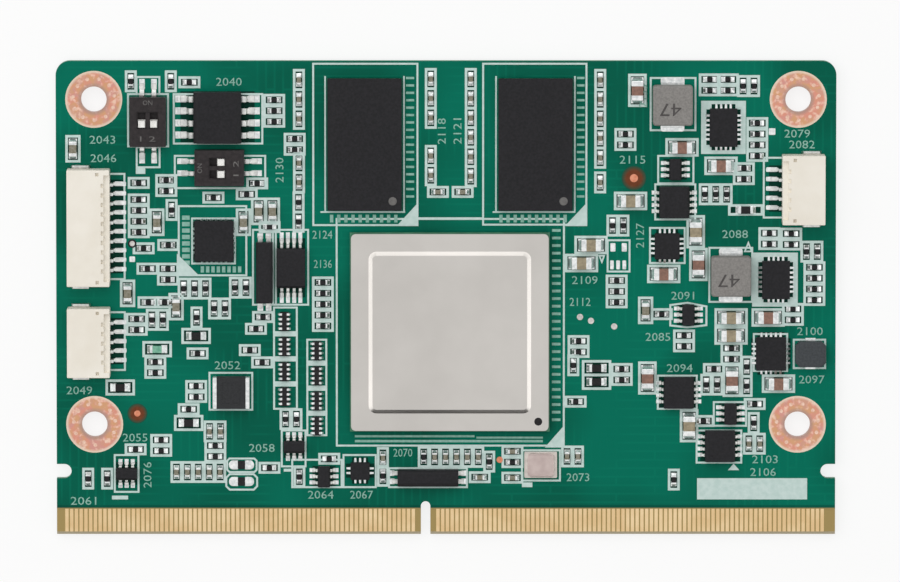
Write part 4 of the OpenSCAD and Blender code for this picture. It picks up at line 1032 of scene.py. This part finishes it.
crystal = {"shoulder": 0.35, "round": 0.06, "foot": (0.6, 0.5), "root": 0.1, "footRound": 0.03, "past": 0.3}


def makeCrystals():
    bodies = [mouldedBody(box, crystal["shoulder"], sizeOf(box)[0] > sizeOf(box)[1], crystal["round"])
              for box in islandBoxes("crystal_bodies")]
    finishPiece(joinPieces("crystalBodies", bodies), mouldEpoxy, "black_mould", "crystal_bodies")
    places = leadPlaces("crystal_leads", "crystal_bodies")
    reach, width = crystal["foot"]
    foot = startBlock("foot", (reach, width, leadThick), (reach / 2, 0, 0))
    extrudeFaces(foot, lambda middle, normal: normal[0] < -0.9, (-crystal["root"], 0, 0))
    roundEdges(foot, crystal["footRound"], 1)
    feet = copyModel(foot, places, "crystalLeads")
    solder = toeSolder(reach, width, crystal["past"])
    solders = copyModel(solder, places, "crystalSolder")
    dropModel(foot, solder)
    finishPiece(feet, leadTin, "tinned_metal", "crystal_leads")
    finishPiece(solders, solderTin, "solder")


can = {"baseCorner": 0.12, "baseRim": 0.1, "baseDeep": 0.03, "lidCorner": 0.35, "lidRim": 0.14,
       "lidDeep": 0.05, "lidFold": 0.06, "lidEdge": 0.02}


def makeOscillator():
    base = boxBlock("oscillatorBase", nodeBox("oscillator_base"))
    roundEdges(base, can["baseCorner"], 3, upright)
    stepFaces(base, can["baseRim"], -can["baseDeep"])
    finishPiece(base, paleCeramic, "pale_ceramic", "oscillator_base")
    low, high = nodeBox("oscillator_lid")
    top = boxBlock("oscillatorLid", ((low[0], low[1], low[2] - can["baseDeep"]), high))
    roundEdges(top, can["lidCorner"], 4, upright)
    pickFaces(top, facingUp)
    bpy.ops.mesh.inset(thickness=can["lidRim"] * mm)
    bpy.ops.mesh.extrude_region_move(TRANSFORM_OT_translate={"value": (0, 0, -can["lidDeep"] * mm)})
    bpy.ops.mesh.inset(thickness=can["lidFold"] * mm)
    closeEdit()
    roundEdges(top, can["lidEdge"], 1, edgesAbove(high[2] - hair))
    finishPiece(top, canLid, "crystal_lid", "oscillator_lid")


inductor = {"corner": 0.32, "topRound": 0.2, "strapRound": 0.03, "land": (2.5, 1.0, 0.05), "landAt": 2.35,
            "landRound": 0.25, "markShift": (-0.25, -0.4), "markLift": 0.002, "markWide": 2.3,
            "markHigh": 1.35}


def makeInductors():
    cores, straps = [], []
    for box in islandBoxes("inductor_cores"):
        core = boxBlock("core", box)
        roundEdges(core, inductor["corner"], 4, upright)
        roundEdges(core, inductor["topRound"], 3, edgesAbove(box[1][2] - hair))
        cores.append(core)
    for box in islandBoxes("inductor_terminals"):
        strap = boxBlock("strap", box)
        roundEdges(strap, inductor["strapRound"], 1)
        straps.append(strap)
    finishPiece(joinPieces("inductorCores", cores), ironPowder, "grey_ferrite", "inductor_cores")
    finishPiece(joinPieces("inductorTerminals", straps), solderTin, "tinned_metal", "inductor_terminals")


choke = {"edge": 0.08, "rim": 0.45, "deep": 0.05, "drum": (3.2, 2.7, 1.22), "drumPlace": (38.35, -5.85),
         "drumLift": 0.15, "drumCorner": 0.45, "drumRim": 0.25, "drumRise": 0.03, "endRound": (0.03, 0.09)}


def makeChokes():
    square = min(islandBoxes("choke_cores"), key=lambda box: box[0][0])
    core = boxBlock("ferriteChokeCore", square)
    roundEdges(core, choke["edge"], 2)
    stepFaces(core, choke["rim"], -choke["deep"])
    finishPiece(core, ferrite, "dark_ferrite", "choke_cores")
    foot = boardTop + choke["drumLift"]
    drum = startBlock("drumChokeCore", choke["drum"], (*choke["drumPlace"], foot))
    roundEdges(drum, choke["drumCorner"], 1, upright)
    roundEdges(drum, choke["edge"], 2, edgesAbove(foot + choke["drum"][2] - hair))
    swellTop(drum, choke["drumRim"], choke["drumRise"])
    finishPiece(drum, drumFerrite, "dark_ferrite", "choke_cores")
    ends = []
    for box in islandBoxes("choke_terminals"):
        end = boxBlock("end", box)
        roundEdges(end, choke["endRound"][sizeOf(box)[2] > 0.5], 2)  # thin straps and tall ends
        ends.append(end)
    finishPiece(joinPieces("chokeTerminals", ends), solderTin, "tinned_metal", "choke_terminals")


network = {"round": 0.05, "end": (0.24, 0.27, 0.47), "endIn": 0.1, "endOut": 0.22, "endTaper": (1, 0.9, 0.4),
           "endRound": 0.03}


def makeArrays():
    bodies = []
    for box in islandBoxes("array_bodies"):
        body = boxBlock("body", box)
        roundEdges(body, network["round"], 1)
        bodies.append(body)
    outward = lambda middle, normal: normal[0] > 0.9
    end = startBlock("end", network["end"], (-network["endIn"], 0, 0))
    extrudeFaces(end, outward, (network["endOut"], 0, 0))
    tip = network["end"][0] / 2 - network["endIn"] + network["endOut"]
    taperFaces(end, outward, network["endTaper"], (tip, 0, 0))
    roundEdges(end, network["endRound"], 1, edgesUpTo(hair))
    ends = copyModel(end, leadPlaces("array_terminals", "array_bodies"), "arrayTerminals")
    dropModel(end)
    finishPiece(joinPieces("arrayBodies", bodies), resistorGlaze, "resistor_black", "array_bodies")
    finishPiece(ends, solderTin, "tinned_metal", "array_terminals")


makeCrystals()
makeOscillator()
makeInductors()
makeChokes()
makeArrays()
print("crystals, inductors, chokes and networks done")


# bare pads: tin dots, copper test points, solder jumpers and an empty footprint

emptyPads = [  # middle and size
    (17.55, 5.35, 0.55, 0.9), (18.75, 5.35, 0.55, 0.9), (17.45, 3.5, 0.4, 0.95), (18.1, 3.5, 0.4, 0.95),
    (18.75, 3.5, 0.4, 0.95), (34.25, 17.55, 0.7, 0.7), (-33.0, 4.1, 0.6, 0.6)]
bare = {"jumperMiddle": -21.55, "jumperRows": (-17.65, -19.4), "half": (0.98, 0.06), "halfRound": 0.44,
        "stop": (0.78, 0.9, 0.05), "stopRound": 0.15, "stopEdge": 0.015, "edge": 0.02, "emptyThick": 0.04,
        "emptyRound": 0.08, "dot": 0.33, "dotThick": 0.05, "dotRim": 0.16, "dotRise": 0.03, "dotLift": 0.02,
        "ringed": (-33.0, 5.75), "ringedDot": 0.28, "ring": 0.46, "ringThick": 0.03, "ringEdge": 0.012,
        "haloThick": 0.016, "haloEdge": 0.008}


def flatPad(size, place, corner, segments, edge, test=upright):
    piece = startBlock("pad", size, (*place, boardTop))
    roundEdges(piece, corner, segments, test)
    roundEdges(piece, edge, 1, edgesAbove(boardTop + size[2] - hair))
    return piece


def flatDisc(radius, thick, spot, sides, edge):
    piece = startRound("disc", radius, thick, (*spot, boardTop), sides)
    roundEdges(piece, edge, 1, edgesAbove(boardTop + thick / 2))
    return piece


def makePads():
    dots, points, halos, squares, stops = [], [], [], [], []
    for box in islandBoxes("solder_pads"):
        x, y = middleOf(box)[:2]
        wide = sizeOf(box)[0]
        if wide > 0.9:  # one half of a jumper, rounded on its outer side
            outer = box[0][0] if x < bare["jumperMiddle"] else box[1][0]
            squares.append(flatPad((wide, *bare["half"]), (x, y), bare["halfRound"], 5, bare["edge"],
                                   lambda a, b: upright(a, b) and abs(a[0] - outer) < hair))
            continue
        near = [spot for spot in copperSpots if math.hypot(spot[0] - x, spot[1] - y) < 0.7]
        spot = near[0] if near else (x, y)
        halo, radius = copperSpots.get(spot, (0, bare["dot"]))
        ringed = math.hypot(x - bare["ringed"][0], y - bare["ringed"][1]) < 0.5
        if ringed:  # one test point has a black ring of ink
            radius = bare["ringedDot"]
            stops.append(flatDisc(bare["ring"], bare["ringThick"], spot, 28, bare["ringEdge"]))
        foot = boardTop + (bare["dotLift"] if near or ringed else 0)
        dot = startRound("dot", radius, bare["dotThick"], (*spot, foot), 20)
        swellTop(dot, bare["dotRim"], bare["dotRise"])
        (points if near else dots).append(dot)
        if halo:
            halos.append(flatDisc(halo, bare["haloThick"], spot, 40, bare["haloEdge"]))
    for x, y, wide, deep in emptyPads:
        size = (wide, deep, bare["emptyThick"])
        squares.append(flatPad(size, (x, y), bare["emptyRound"], 2, bare["stopEdge"]))
    for y in bare["jumperRows"]:  # black stop ink between the halves of a jumper
        stops.append(flatPad(bare["stop"], (bare["jumperMiddle"], y), bare["stopRound"], 3, bare["stopEdge"]))
    finishPiece(joinPieces("tinDots", dots), dullTin, "solder", "solder_pads")
    finishPiece(joinPieces("tinPads", squares), solderTin, "solder", "solder_pads")
    finishPiece(joinPieces("copperPoints", points), bareCopper, "copper_ring", "solder_pads")
    finishPiece(joinPieces("copperHalos", halos), tarnish, "copper_ring")
    finishPiece(joinPieces("jumperStops", stops), resistorGlaze, "resistor_black")
    # wide tinned lands that show north and south of the power inductors
    lands = []
    for box in islandBoxes("inductor_cores"):
        x, y = middleOf(box)[:2]
        for side in (-1, 1):
            place = (x, y + side * inductor["landAt"])
            lands.append(flatPad(inductor["land"], place, inductor["landRound"], 4, bare["edge"]))
    finishPiece(joinPieces("inductorLands", lands), solderTin, "solder")


makePads()


# stitching holes round the plated rings: low rims with a dimple

stitches = {"count": 11, "start": 0.3, "orbit": 2.2, "radius": 0.2, "rise": 0.02, "rim": 0.07, "wall": 0.04,
            "deep": 0.015}


def makeStitches():
    rim = startRound("rim", stitches["radius"], stitches["rise"], (0, 0, 0), 14)
    pickFaces(rim, facingUp)
    bpy.ops.mesh.inset(thickness=stitches["rim"] * mm)
    bpy.ops.mesh.inset(thickness=stitches["wall"] * mm)
    bpy.ops.transform.translate(value=(0, 0, -stitches["deep"] * mm))
    closeEdit()
    turns = [2 * math.pi * (i + stitches["start"]) / stitches["count"] for i in range(stitches["count"])]
    places = []
    for y in (rings["middle"] + rings["up"], rings["middle"] - rings["up"]):
        for x in (-rings["across"], rings["across"]):
            for turn in turns:
                spot = (x + stitches["orbit"] * math.cos(turn), y + stitches["orbit"] * math.sin(turn))
                places.append((*spot, boardTop, 0))
    rims = copyModel(rim, places, "ringStitches")
    dropModel(rim)
    finishPiece(rims, stitchTin, "copper_ring")


makeStitches()
print("pads done")


# screen print: frames round the chips, outlines of the larger parts, corner marks and plain numbers

ink = {"line": 0.27, "thinLine": 0.2, "thick": 0.014, "stagger": 0.002, "frameLift": 0.003,
       "outlineLift": 0.0163, "tickLift": 0.0237, "fillLift": 0.0246, "markLift": 0.0295, "markStep": 0.0004,
       "shadeLift": -0.0125, "shadeIn": 0.1, "numberHigh": 0.85, "numberWide": 2.7, "numberLift": 0.04,
       "numberThick": 0.006, "firstNumber": 2040, "numberStep": 3}
outlines = [  # of the larger parts, by two corners
    (-11.6, -15.7, 12.5, 8.45), (-14.05, 7.6, -2.9, 24.8), (3.8, 7.65, 14.85, 24.8),
    (-25.0, -11.9, -20.3, -7.8), (-18.2, -11.8, -15.6, -0.9), (-14.7, -14.6, -12.5, -4.3),
    (32.3, -7.8, 36.0, -3.7), (36.5, -7.5, 40.0, -4.3),
    (26.3, -17.5, 31.2, -13.9), (7.9, -19.4, 12.1, -16.0), (-6.1, -20.1, 2.3, -17.9),
    (-10.9, -20.1, -7.3, -16.5), (-16.3, -20.1, -10.9, -17.0), (-17.4, -17.9, -14.7, -13.9),
    (-35.0, -20.6, -32.3, -16.5), (-28.2, 2.3, -20.9, 9.8), (21.35, 3.6, 25.2, 7.5),
    (16.9, 2.7, 19.4, 6.2), (-28.6, 11.5, -18.9, 15.1), (-28.7, 16.2, -19.2, 21.6),
    (-33.5, 15.9, -29.1, 21.6), (-32.6, 13.7, -30.0, 16.0), (-32.6, 21.4, -30.0, 23.4),
    (21.9, 8.2, 26.3, 12.1), (22.2, 12.0, 26.1, 15.1), (22.2, -11.8, 26.5, -8.1),
    (28.1, -13.6, 31.7, -10.9), (21.4, 17.6, 26.3, 23.3), (27.6, -0.5, 32.3, 5.4),
    (-20.4, -0.8, -17.8, 7.3), (-18.3, -0.8, -14.4, 7.3), (33.3, 8.4, 36.3, 14.9),
    (-35.6, 1.9, -33.7, 13.2), (-35.6, -7.7, -33.7, -1.4), (-26.8, 3.55, -22.1, 8.5),
]
zones = [  # filled ring between an outer and an inner rectangle, and filled inner corners
    ((26.8, 15.2, 31.5, 20.8), (27.35, 15.6, 30.95, 20.45), 0.55),
    ((32.2, -0.9, 37.0, 4.8), (32.85, -0.45, 36.5, 4.35), 0.55),
]
bars = [  # filled, by two corners
    (-13.2, 9.0, -4.3, 9.17), (-4.5, 9.17, -4.33, 23.4), (-12.78, 9.17, -12.61, 23.4),
    (4.9, 9.0, 13.6, 9.17), (13.45, 9.17, 13.62, 23.4), (5.17, 9.17, 5.34, 23.4),
    (-2.9, 8.3, 3.8, 8.52), (26.45, -21.3, 38.05, -19.05), (-35.2, -21.3, -33.5, -20.9),
    (-32.6, 13.1, -31.6, 13.8), (8.0, -20.0, 9.1, -19.5), (-17.1, -18.35, -16.1, -18.05),
]
ticks = [(-9.6, -14.72, 3.0, -14.5), (-9.6, -15.25, 10.2, -15.0), (3.2, -14.85, 10.2, -14.65)]
rows = [  # the list to join, the count, the first plate and the step
    (bars, 3, (-18.1, -4.05, -15.7, -3.5), (0, -2.65)), (bars, 3, (-14.6, -7.15, -12.6, -6.6), (0, -2.65)),
    (ticks, 26, (11.15, 7.0, 12.05, 7.28), (0, -0.8)), (ticks, 17, (-4.2, 10.6, -3.35, 10.84), (0, 0.78)),
    (ticks, 17, (13.75, 10.6, 14.55, 10.84), (0, 0.78)), (ticks, 8, (-27.75, 3.5, -26.95, 3.95), (0, 0.68)),
    (ticks, 8, (-25.8, 2.7, -25.45, 3.35), (0.56, 0)), (ticks, 10, (-12.2, 7.98, -11.85, 8.8), (0.75, 0)),
    (ticks, 10, (5.6, 7.98, 5.95, 8.8), (0.75, 0)),
]
for plates, count, (x0, y0, x1, y1), (dx, dy) in rows:
    plates += [(x0 + dx * i, y0 + dy * i, x1 + dx * i, y1 + dy * i) for i in range(count)]
wedges = [  # corners of the filled marks
    [(12.5, -13.4), (10.4, -15.8), (12.5, -15.8)],
    [(-2.9, 10.1), (-5.2, 7.6), (-2.9, 7.6)], [(14.85, 10.1), (12.5, 7.6), (14.85, 7.6)],
    [(-28.3, 4.7), (-28.3, 2.3), (-25.9, 2.3)], [(29.7, -18.2), (30.9, -18.2), (30.3, -17.5)],
]
hollowMarks = [  # corners and width of line: two arrows, the outline of a six-lead chip, then of the jumpers
    ([(16.0, 4.55), (16.75, 4.55), (16.4, 3.6)], 0.16), ([(31.3, 4.85), (32.25, 4.85), (31.8, 6.05)], 0.16),
    ([(23.5, -0.65), (25.4, -0.4), (27.5, -0.8), (27.5, -2.95), (25.4, -3.2), (23.5, -2.98)], 0.2),
]
for x0, y0, x1, y1, c in ((-23.15, -18.5, -19.85, -16.87, 0.3), (-23.25, -20.36, -19.8, -18.53, 0.42)):
    hollowMarks.append(([(x0 + c, y0), (x1 - c, y0), (x1, y0 + c), (x1, y1 - c),
                         (x1 - c, y1), (x0 + c, y1), (x0, y1 - c), (x0, y0 + c)], 0.2))
numbers = [  # middle, width and turn of each place number
    (-22.8, 22.8, 3.6, 0), (-36.1, 16.7, 3.6, 0), (-36.0, 14.75, 3.6, 0), (-38.6, -9.75, 3.0, 0),
    (-23.0, -7.1, 3.2, 0), (-32.75, -14.75, 2.6, 0), (-19.4, -15.85, 2.9, 0), (-38.2, -21.45, 3.4, 0),
    (-13.2, -20.8, 3.2, 0), (-8.9, -20.8, 2.4, 0), (-4.55, -16.35, 2.0, 0), (13.9, -18.95, 2.4, 0),
    (-31.45, -18.7, 2.8, 90), (36.9, 17.35, 3.2, 0), (37.4, 16.2, 3.4, 0), (22.3, -4.1, 2.6, 0),
    (30.4, 6.75, 3.2, 0), (24.9, 0.25, 2.4, 0), (24.6, -7.4, 3.2, 0), (38.5, -8.6, 2.8, 0),
    (38.3, -3.5, 2.8, 0), (33.6, -17.05, 3.0, 0), (33.4, -18.4, 3.0, 0), (14.6, 1.9, 2.8, 0),
    (14.1, -0.4, 2.2, 0), (19.6, 14.6, 2.9, 0), (-0.45, 17.6, 2.8, 90), (1.2, 17.6, 2.8, 90),
    (-13.0, 6.7, 2.1, 0), (20.4, 6.6, 2.6, 90), (-17.5, 13.5, 2.6, 90), (20.7, 21.3, 2.4, 90),
    (-12.95, 3.6, 1.9, 0),
]


def startPrint(name):
    deselect()
    piece = bpy.data.objects.new(name, bpy.data.meshes.new(name))
    bpy.context.scene.collection.objects.link(piece)
    activate(piece)
    bpy.ops.object.mode_set(mode="EDIT")
    bpy.ops.mesh.select_mode(type="FACE")
    return piece


def addPlates(plates, lift):
    levels = []
    for i, (x0, y0, x1, y1) in enumerate(plates):  # plates that meet lie at different levels
        taken = {levels[k] for k, (u0, v0, u1, v1) in enumerate(plates[:i])
                 if x0 <= u1 and u0 <= x1 and y0 <= v1 and v0 <= y1}
        levels.append(next(n for n in range(i + 1) if n not in taken))
        z = boardTop + lift + levels[i] * ink["stagger"]
        place = ((x0 + x1) / 2 * mm, (y0 + y1) / 2 * mm, z * mm)
        bpy.ops.mesh.primitive_plane_add(size=1, location=place)
        bpy.ops.transform.resize(value=((x1 - x0) * mm, (y1 - y0) * mm, 1), center_override=place)
    print("print levels:", max(levels) + 1, "for", len(plates))


def endPrint(piece, material):
    closeEdit()
    thick = piece.modifiers.new("thick", "SOLIDIFY")
    thick.thickness = ink["thick"] * mm
    thick.offset = 1
    activate(piece)
    bpy.ops.object.modifier_apply(modifier=thick.name)
    finishPiece(piece, material, "solder_mask_board", smooth=0)


slimFrame = {"place": (31.5, 9.3), "silk": (3.7, 1.2)}  # one chip has a frame of its own


def makePrint():
    piece = startPrint("screenPrint")
    chipFrames = []
    for kindName, kind in chipKinds.items():
        for x, y, z, turn in chipSpots[kindName]:
            w, d = kind["silk"] if turn == 0 else kind["silk"][::-1]
            if math.hypot(x - slimFrame["place"][0], y - slimFrame["place"][1]) < 0.6:
                w, d = slimFrame["silk"]
            chipFrames.append((x - w / 2, y - d / 2, x + w / 2, y + d / 2))
    fills = list(bars)
    for (x0, y0, x1, y1), (u0, v0, u1, v1), corner in zones:
        fills += [(x0, y0, u0, y1), (u1, y0, x1, y1), (u0, y0, u1, v0), (u0, v1, u1, y1)]
        fills += [(u, v, u + corner, v + corner) for u in (u0, u1 - corner) for v in (v0, v1 - corner)]

    # the outlines lie above the chip frames, and the filled plates above both
    for plates, line, lift in ((chipFrames, ink["line"], ink["frameLift"]),
                               (outlines, ink["thinLine"], ink["outlineLift"])):
        addPlates(plates, lift)
        bpy.ops.mesh.select_all(action="SELECT")
        bpy.ops.mesh.inset(thickness=line * mm, use_individual=True)
        bpy.ops.mesh.delete(type="FACE")
        bpy.ops.mesh.select_all(action="SELECT")
        bpy.ops.mesh.hide()
    bpy.ops.mesh.reveal(select=False)
    addPlates(fills, ink["fillLift"])
    bpy.ops.mesh.select_all(action="SELECT")
    bpy.ops.mesh.hide()
    # each mark is a plate cut along its slanted sides
    for i, (corners, line) in enumerate([(wedge, 0) for wedge in wedges] + hollowMarks):
        low = [min(c[k] for c in corners) for k in (0, 1)]
        high = [max(c[k] for c in corners) for k in (0, 1)]
        addPlates([(*low, *high)], ink["markLift"] + ink["markStep"] * i)
        middle = Vector([sum(c[k] for c in corners) / len(corners) for k in (0, 1)] + [0])
        for (x0, y0), (x1, y1) in zip(corners, corners[1:] + corners[:1]):
            if abs(x1 - x0) > hair and abs(y1 - y0) > hair:
                out = Vector((y1 - y0, x0 - x1, 0)).normalized()
                out = -out if out.dot(Vector((x0, y0, 0)) - middle) < 0 else out
                bpy.ops.mesh.select_all(action="SELECT")
                bpy.ops.mesh.bisect(plane_co=(x0 * mm, y0 * mm, 0), plane_no=out, clear_outer=True)
        bpy.ops.mesh.select_all(action="SELECT")
        if line:
            bpy.ops.mesh.inset(thickness=line * mm)
            bpy.ops.mesh.delete(type="FACE")
            bpy.ops.mesh.select_all(action="SELECT")
        bpy.ops.mesh.hide()
    bpy.ops.mesh.reveal(select=False)
    endPrint(piece, silkInk)
    # plates of painted shade inside each chip frame and round the leads, laid on the mask
    inset = ink["shadeIn"]
    frameShades = [(x0 + inset, y0 + inset, x1 - inset, y1 - inset) for x0, y0, x1, y1 in chipFrames]
    for name, plates, lift, material in (
            ("tickPrint", ticks, ink["tickLift"], thinInk),
            ("paintedPadShade", frameShades + leadShades, ink["shadeLift"], shadeMask)):
        piece = startPrint(name)
        addPlates(plates, lift)
        endPrint(piece, material)


def makeNumber(text, x, y, z, width, turn, high):
    deselect()
    bpy.ops.object.text_add(location=(0, 0, 0))
    made = bpy.context.object
    made.data.body = text
    made.data.align_x, made.data.align_y = "CENTER", "CENTER"
    made.data.size = high * mm / 0.7  # figures stand about 0.7 of the size
    made.data.extrude = ink["numberThick"] * mm
    made.data.resolution_u = 2
    bpy.ops.object.convert(target="MESH")
    made = bpy.context.object
    box = [[pick(v.co[k] for v in made.data.vertices) for k in (0, 1)] for pick in (min, max)]
    spans, middles = sizeOf(box), middleOf(box)
    made.data.transform(seatAt(x, y, z, turn)
                        @ Matrix.Diagonal((width * mm / spans[0], high * mm / spans[1], 1, 1))
                        @ Matrix.Translation((-middles[0], -middles[1], 0)))
    return made


makePrint()
placed = []
for i, (x, y, width, turn) in enumerate(numbers):
    number = str(ink["firstNumber"] + ink["numberStep"] * i)
    placed.append(makeNumber(number, x, y, boardTop + ink["numberLift"], min(width, ink["numberWide"]), turn,
                             ink["numberHigh"]))
finishPiece(joinPieces("placeNumbers", placed), thinInk, "solder_mask_board", smooth=0)
marks = []
for box in islandBoxes("inductor_cores"):
    x, y = [a + b for a, b in zip(middleOf(box), inductor["markShift"])]
    marks.append(makeNumber("47", x, y, box[1][2] + inductor["markLift"], inductor["markWide"], 180,
                            inductor["markHigh"]))
finishPiece(joinPieces("inductorMarks", marks), darkInk, "grey_ferrite", smooth=0)
panelTop = nodeBox("upright_switch_cover")[1][2] - slide["panelDeep"] + ink["numberThick"]
switchMarks = [("ON", -31.3, 20.7, 1.0, 0, 0.5), ("1 2", -31.3, 16.9, 1.6, 0, 0.55),
               ("ON", -25.85, 13.8, 1.0, 90, 0.5), ("1 2", -22.05, 13.8, 1.6, 90, 0.55)]
marks = [makeNumber(word, x, y, panelTop, width, turn, high) for word, x, y, width, turn, high in switchMarks]
finishPiece(joinPieces("switchMarks", marks), greyInk, "switch_plastic", smooth=0)
print("screen print done")
